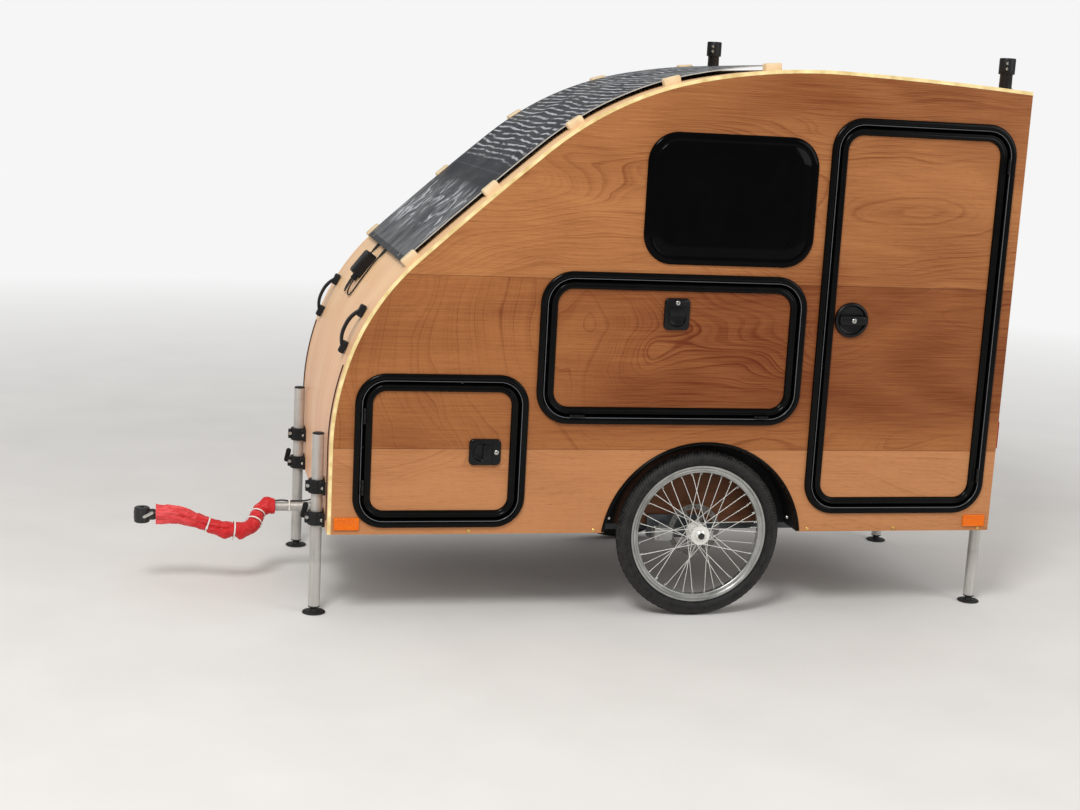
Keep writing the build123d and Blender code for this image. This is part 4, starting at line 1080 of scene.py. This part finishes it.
# pole sockets on the roof: tube with a clamp collar and its bolts
socketShape = {"places": ((2.541, -0.375), (1.866, 0.375)),
               "tube": ((0, -4), (23.8, -4), (23.8, 4), (19, 6), (18.5, 44), (19.5, 46), (23.8, 47), (24, 49),
                        (24, 90), (22.8, 93.5), (17, 94), (15, 93), (15, 14), (0, 14)),
               "bolt": ((0, 0), (5, 0), (5.6, 0.8), (5.6, 3.6), (4.8, 4.4), (2.8, 4.4), (2.6, 2.6), (0, 2.6)),
               "boltPlaces": ((-0.0245, -0.008, 0.062), (-0.0245, -0.008, 0.078)),
               "lug": ((13, 16, 34), (-23.5, 0, 70), 2), "turned": 40}
seats = [at(*skinSpot(run, across).translation) for run, across in socketShape["places"]]
tubes = copies(turned(socketShape["tube"], 48), seats)
seats = [seat @ turn("Z", socketShape["turned"]) for seat in seats]
tubes += copies(block(*socketShape["lug"]), seats)
spots = [seat @ at(*place) @ turn("X", 90) for seat in seats for place in socketShape["boltPlaces"]]
bolts = copies(turned(socketShape["bolt"], 20), spots)
deliver(tubes, "poleSocketTubes", "blackPlastic", "black_plastic", "pole_sockets", angle=35)
deliver(bolts, "poleSocketBolts", "steel", "hub_steel", angle=40)
print("roof fittings made")

# drawbar wrap: taped padding that follows the bent tube
wrapShape = {
    "corners": ((-0.8955, 0, 0.2265), (-0.9355, 0, 0.2265), (-0.9725, -0.084, 0.1745), (-1.0655, -0.090, 0.1825),
                (-1.1875, -0.090, 0.2265), (-1.2535, -0.090, 0.2265)),
    "bends": (0.042, 0.046, 0.090, 0.120),
    "radius": 0.0200,
    "pitch": 0.030,
    "ties": (0.068, 0.105, 0.180, 0.262),
    "loose": 0.150,
    # place along the wrap, width, height and direction round it (0 up, pi down) of each lump
    "bumps": ((0.022, 0.012, 0.0080, 0.0), (0.161, 0.011, 0.0085, math.pi), (0.205, 0.016, 0.0105, math.pi + 0.2),
              (0.090, 0.025, 0.0030, 2.2)),
    "crease": (0.185, -1.30, 0.16, 0.0060),
    # height, folds along and stretch round of each layer
    "folds": ((0.0030, 24, 1.0), (0.0016, 70, 1.0), (0.0006, 260, 1.6)),
    "tieDent": (0.0022, 0.005),
    "tape": (0.0012, 0.0016),
    # the loose end swells and waves: height, waves round and twist along of each
    "swelling": 0.0050,
    "waves": ((0.0034, 4, 12), (0.0012, 9, -20)),
}


def wrapLine():
    # straights with arcs at the corners, as a Bezier line
    corners = [Vector(p) for p in wrapShape["corners"]]
    knots = [(corners[0], None, (corners[1] - corners[0]).normalized() * 0.01)]
    for before, here, after, radius in zip(corners, corners[1:], corners[2:], wrapShape["bends"]):
        inWay, outWay = (here - before).normalized(), (after - here).normalized()
        angle = inWay.angle(outWay)
        cut, reach = radius * math.tan(angle / 2), radius * 4 / 3 * math.tan(angle / 4)
        knots.append((here - inWay * cut, -inWay * 0.01, inWay * reach))
        knots.append((here + outWay * cut, -outWay * reach, outWay * 0.01))
    knots.append((corners[-1], (corners[-2] - corners[-1]).normalized() * 0.01, None))
    piece, run = drawn("wrapLine", "BEZIER", len(knots))
    for knot, (place, back, ahead) in zip(run.bezier_points, knots):
        knot.handle_left_type = knot.handle_right_type = "FREE"
        knot.co = place
        knot.handle_left = place + (back if back is not None else -ahead)
        knot.handle_right = place + (ahead if ahead is not None else -back)
    piece.data.resolution_u = 16
    return piece


def readLine(piece):
    # corner points of the bare line with their distance along it
    graph = bpy.context.evaluated_depsgraph_get()
    thin = bpy.data.meshes.new_from_object(piece.evaluated_get(graph))
    points = [v.co.copy() for v in thin.vertices]
    runs = [0.0]
    for a, b in zip(points, points[1:]):
        runs.append(runs[-1] + (b - a).length)
    return points, runs


def alongLine(points, runs, place):
    # distance along the line, the offset from it at the nearest point and its direction there
    best = None
    for i in range(len(points) - 1):
        a, d = points[i], points[i + 1] - points[i]
        share = max(0.0, min(1.0, (place - a).dot(d) / max(d.length_squared, 1e-12)))
        off = place - (a + d * share)
        if best is None or off.length_squared < best[0]:
            best = (off.length_squared, runs[i] + d.length * share, off, d.normalized())
    return best[1:]


def bell(run, middle, width):
    return math.exp(-(((run - middle) / width) ** 2))


line = wrapLine()
linePoints, lineRuns = readLine(line)
line.data.bevel_depth = wrapShape["radius"]
line.data.bevel_resolution = 8
line.data.use_fill_caps = True
wrap = applied(asMesh(line), "REMESH", mode="VOXEL", voxel_size=0.0018)
for corner in wrap.data.vertices:
    run, off, way = alongLine(linePoints, lineRuns, corner.co)
    if off.length < 0.008:
        continue
    side = way.cross(Vector((0, 0, 1))).normalized()
    angle = math.atan2(off.dot(side), off.z)
    lap = (run / wrapShape["pitch"] + angle / (2 * math.pi)) % 1.0
    grow = wrapShape["tape"][0] + wrapShape["tape"][1] * lap
    for height, waves, stretch in wrapShape["folds"]:
        ring = (math.cos(angle) * 1.3 * stretch, math.sin(angle) * 1.3 * stretch)
        grow += height * noise.noise(Vector((run * waves, *ring)))
    for middle, width, height, direction in wrapShape["bumps"]:
        grow += height * bell(run, middle, width) * max(0.0, math.cos(angle - direction)) ** 2
    start, direction, width, depth = wrapShape["crease"]
    swing = (angle - direction - 0.25 * math.sin(run * 16) + math.pi) % (2 * math.pi) - math.pi
    grow -= depth * min(1.0, max(0.0, (run - start) / 0.02)) * bell(swing, 0, width)
    for tie in wrapShape["ties"]:
        depth, width = wrapShape["tieDent"]
        grow -= depth * bell(run, tie, width)
    loose = max(0.0, (run - lineRuns[-1] + wrapShape["loose"]) / wrapShape["loose"])
    waves = sum(height * math.cos(count * angle + run * along) for height, count, along in wrapShape["waves"])
    grow += loose * (wrapShape["swelling"] + waves)
    corner.co += off.normalized() * grow
deliver(wrap, "wrapTape", "redWrap", "wrap_red", "drawbar_wrap", angle=80)

# ties round the wrap, and one round the bare bar
tieShape = {"half": 2.3, "thick": 1.3, "bar": (-0.8517, 0, 0.2287), "barReach": 16.8}


def hoop(reach):
    half, out = tieShape["half"], reach + tieShape["thick"]
    band = turned(((reach, -half), (out, -half), (out, half), (reach, half), (reach, -half)), 48)
    return [band, block((5, 7, 6.2), (reach + 2, 0, 0), 0.8)]


ties = []
for run in wrapShape["ties"]:
    i = max(k for k, r in enumerate(lineRuns) if r <= run)
    way = (linePoints[i + 1] - linePoints[i]).normalized()
    place = linePoints[i] + way * (run - lineRuns[i])
    offs = [corner.co - place for corner in wrap.data.vertices]
    reach = max(off.length for off in offs if abs(off.dot(way)) < 0.003 and off.length < 0.05) * 1000
    tie = joined([*hoop(reach), block((8.5, 1.4, 3.8), (reach + 7.5, 2, 0), 0.4, 1)])
    ties.append(settle(tie, at(*place) @ towards(way, "X") @ Matrix.Rotation(run * 17, 4, "Z")))
ties.append(settle(joined(hoop(tieShape["barReach"])), at(*tieShape["bar"]) @ turn("Y", 90) @ turn("Z", -60)))
deliver(ties, "wrapTies", "tieWhite", "black_plastic", angle=40)
print("wrap made")

# coupling head: neck, upright barrel with collars, cross bore and a lever
head = {"place": (-1.2935, -0.090, 0.2265), "bore": 0.0082,
        "barrel": ((8, -23), (20, -23), (23, -20), (23, -13), (24, -12), (24, 12), (23, 13), (23, 20), (20, 23),
                   (8, 23), (8, -23)),
        "neck": ((0, 0), (15.5, 0), (16.8, 1.6), (16.8, 10), (15.2, 11.6), (15.2, 15), (16.8, 16.6), (16.8, 33),
                 (0, 33)),
        "neckRun": 0.052, "lever": (34, 9, 4, 5, ((0, 2.2), (0.6, 0.6))), "leverAt": (0.018, -0.0226, 0.004)}
headSpot = at(*head["place"])
barrel = settle(turned(head["barrel"], 48), headSpot)
neck = settle(turned(head["neck"]), headSpot @ at(head["neckRun"], 0, 0) @ turn("Y", -90))
bpy.ops.mesh.primitive_cylinder_add(radius=head["bore"], depth=0.08, vertices=48, location=head["place"])
carved(neck, settle(bpy.context.object))
deliver([barrel, neck], "couplingHead", "headBlack", "black_metal", "coupling", angle=35)
lever = settle(plate(*head["lever"]), headSpot @ at(*head["leverAt"]) @ turn("X", 90) @ turn("Z", 28))
deliver(lever, "couplingLever", "steel", "hub_steel", angle=40)
print("coupling made")

# brake callipers: body, bridge bolts and hose stub, from the middle of the trailer outwards
calliperShape = {"ahead": 0.098, "drop": 0.010, "size": (58, 42, 9, 5), "inner": 378, "outer": 417, "disc": 401,
                 "slot": 6, "bolts": ((-16, -12), (-16, 12)), "stubAt": (-10, 18),
                 "bolt": ((0, 0), (4.2, 0), (4.6, 0.6), (4.6, 3.8), (3.8, 4.4), (2.2, 4.4), (2.2, 2), (0, 2)),
                 "stub": ((0, 0), (3.4, 0), (3.4, 4), (2.6, 4.6), (2.6, 12), (0, 12))}


def makeCalliper():
    inner, outer, middle, slot = (calliperShape[name] for name in ("inner", "outer", "disc", "slot"))
    parts = [block((14, 36, outer - inner - 4), (-21.8, 0, (inner + outer) / 2), 2)]
    for low, high in ((inner, middle - slot / 2), (middle + slot / 2, outer)):
        half = plate(*calliperShape["size"], ((0, high - low - 2.2), (1, 1.2), (2, 1)))
        parts.append(settle(half, at(*mm(0, 0, low))))
    spots = [at(*mm(*place, outer - 4.4)) for place in calliperShape["bolts"]]
    parts += copies(turned(calliperShape["bolt"], 20), spots)
    stubSpot = at(*mm(*calliperShape["stubAt"], (inner + outer) / 2 + 6)) @ turn("X", -90)
    stub = settle(turned(calliperShape["stub"], 16), stubSpot)
    return joined([*parts, stub])


spot = at(axle.x - calliperShape["ahead"], 0, axle.z - calliperShape["drop"]) @ turn("X", 90)
spots = [spot @ Matrix.Scale(sign, 4, (0, 0, 1)) for sign in (1, -1)]
callipers = [clean(calliper) for calliper in copies(makeCalliper(), spots)]
deliver(callipers, "calliperBodies", "rimSilver", "rim_silver", "brake_callipers", angle=40)
print("callipers made")

# solids that stay as they are get their finishes
dress("sideBoard", "side_wall_near", "side_wall_far", "door_leaf", "hatch_leaf", "locker_near_leaf",
      "locker_far_leaf")
dress("rearBoard", "rear_wall")
dress("skinBoard", "front_skin", "roof_skin")
dress("innerBoard", "floor_panel")
dress("wheelBoardPaintedShade", "wheel_boxes")
dress("blackPlastic", "arch_liners")
dress("railGrey", "chassis", "axle")
dress("tubeGrey", "drawbar")

# floor, world and lamps
stageLooks = {"floor": ((224, 222, 218), (219, 217, 213)), "shown": 0.92, "fill": 0.68, "mirrored": 0.42,
              "fade": (2.6, 8.0)}
lamps = {"keyLamp": ((-2.4, -4.4, 5.6), 250.0, 1.8), "sideLamp": ((4.5, -4.0, 3.0), 70.0, 3.0)}
bpy.ops.mesh.primitive_plane_add(size=120)
floor = bpy.context.object
floor.name = "floor"
floorFinish, where = newFinish("floorFinish", Roughness=0.9, Specular_IOR_Level=0.1)
shader, output = (floorFinish.node_tree.nodes[name] for name in ("Principled BSDF", "Material Output"))
put(shader, "Base Color", mixed(spread(speckle(where, (3, 3, 3), 3.0), 0.3, 0.7), *stageLooks["floor"]))
# the floor fades into the pale background far from the trailer, for the camera only
away = node("VectorMath", {0: where}, "Value", operation="LENGTH")
glow = node("Emission", {"Color": (1, 1, 1, 1), "Strength": stageLooks["shown"]})
fade = spread(away, *stageLooks["fade"]) * node("LightPath", out="Is Camera Ray")
put(output, "Surface", node("MixShader", {0: fade, 1: Wire(shader.outputs[0]), 2: glow}))
floor.data.materials.append(floorFinish)

world = bpy.data.worlds.new("studio")
world.use_nodes = True
bpy.context.scene.world = world
desk["tree"] = world.node_tree
background = world.node_tree.nodes["Background"]
put(background, "Color", (1, 1, 1, 1))
base = spread(node("LightPath", out="Is Camera Ray"), 0, 1, stageLooks["fill"], stageLooks["shown"])
put(background, "Strength", spread(node("LightPath", out="Is Glossy Ray"), 0, 1, base, stageLooks["mirrored"]))

for name, (place, power, size) in lamps.items():
    bpy.ops.object.light_add(type="AREA", location=place)
    lamp = bpy.context.object
    lamp.name = name
    lamp.data.energy = power
    lamp.data.size = size
    lamp.rotation_mode = "QUATERNION"
    lamp.rotation_quaternion = (Vector((0.2, 0, 0.7)) - Vector(place)).to_track_quat("-Z", "Y")
bpy.context.scene.view_settings.view_transform = "Standard"
print("stage set")
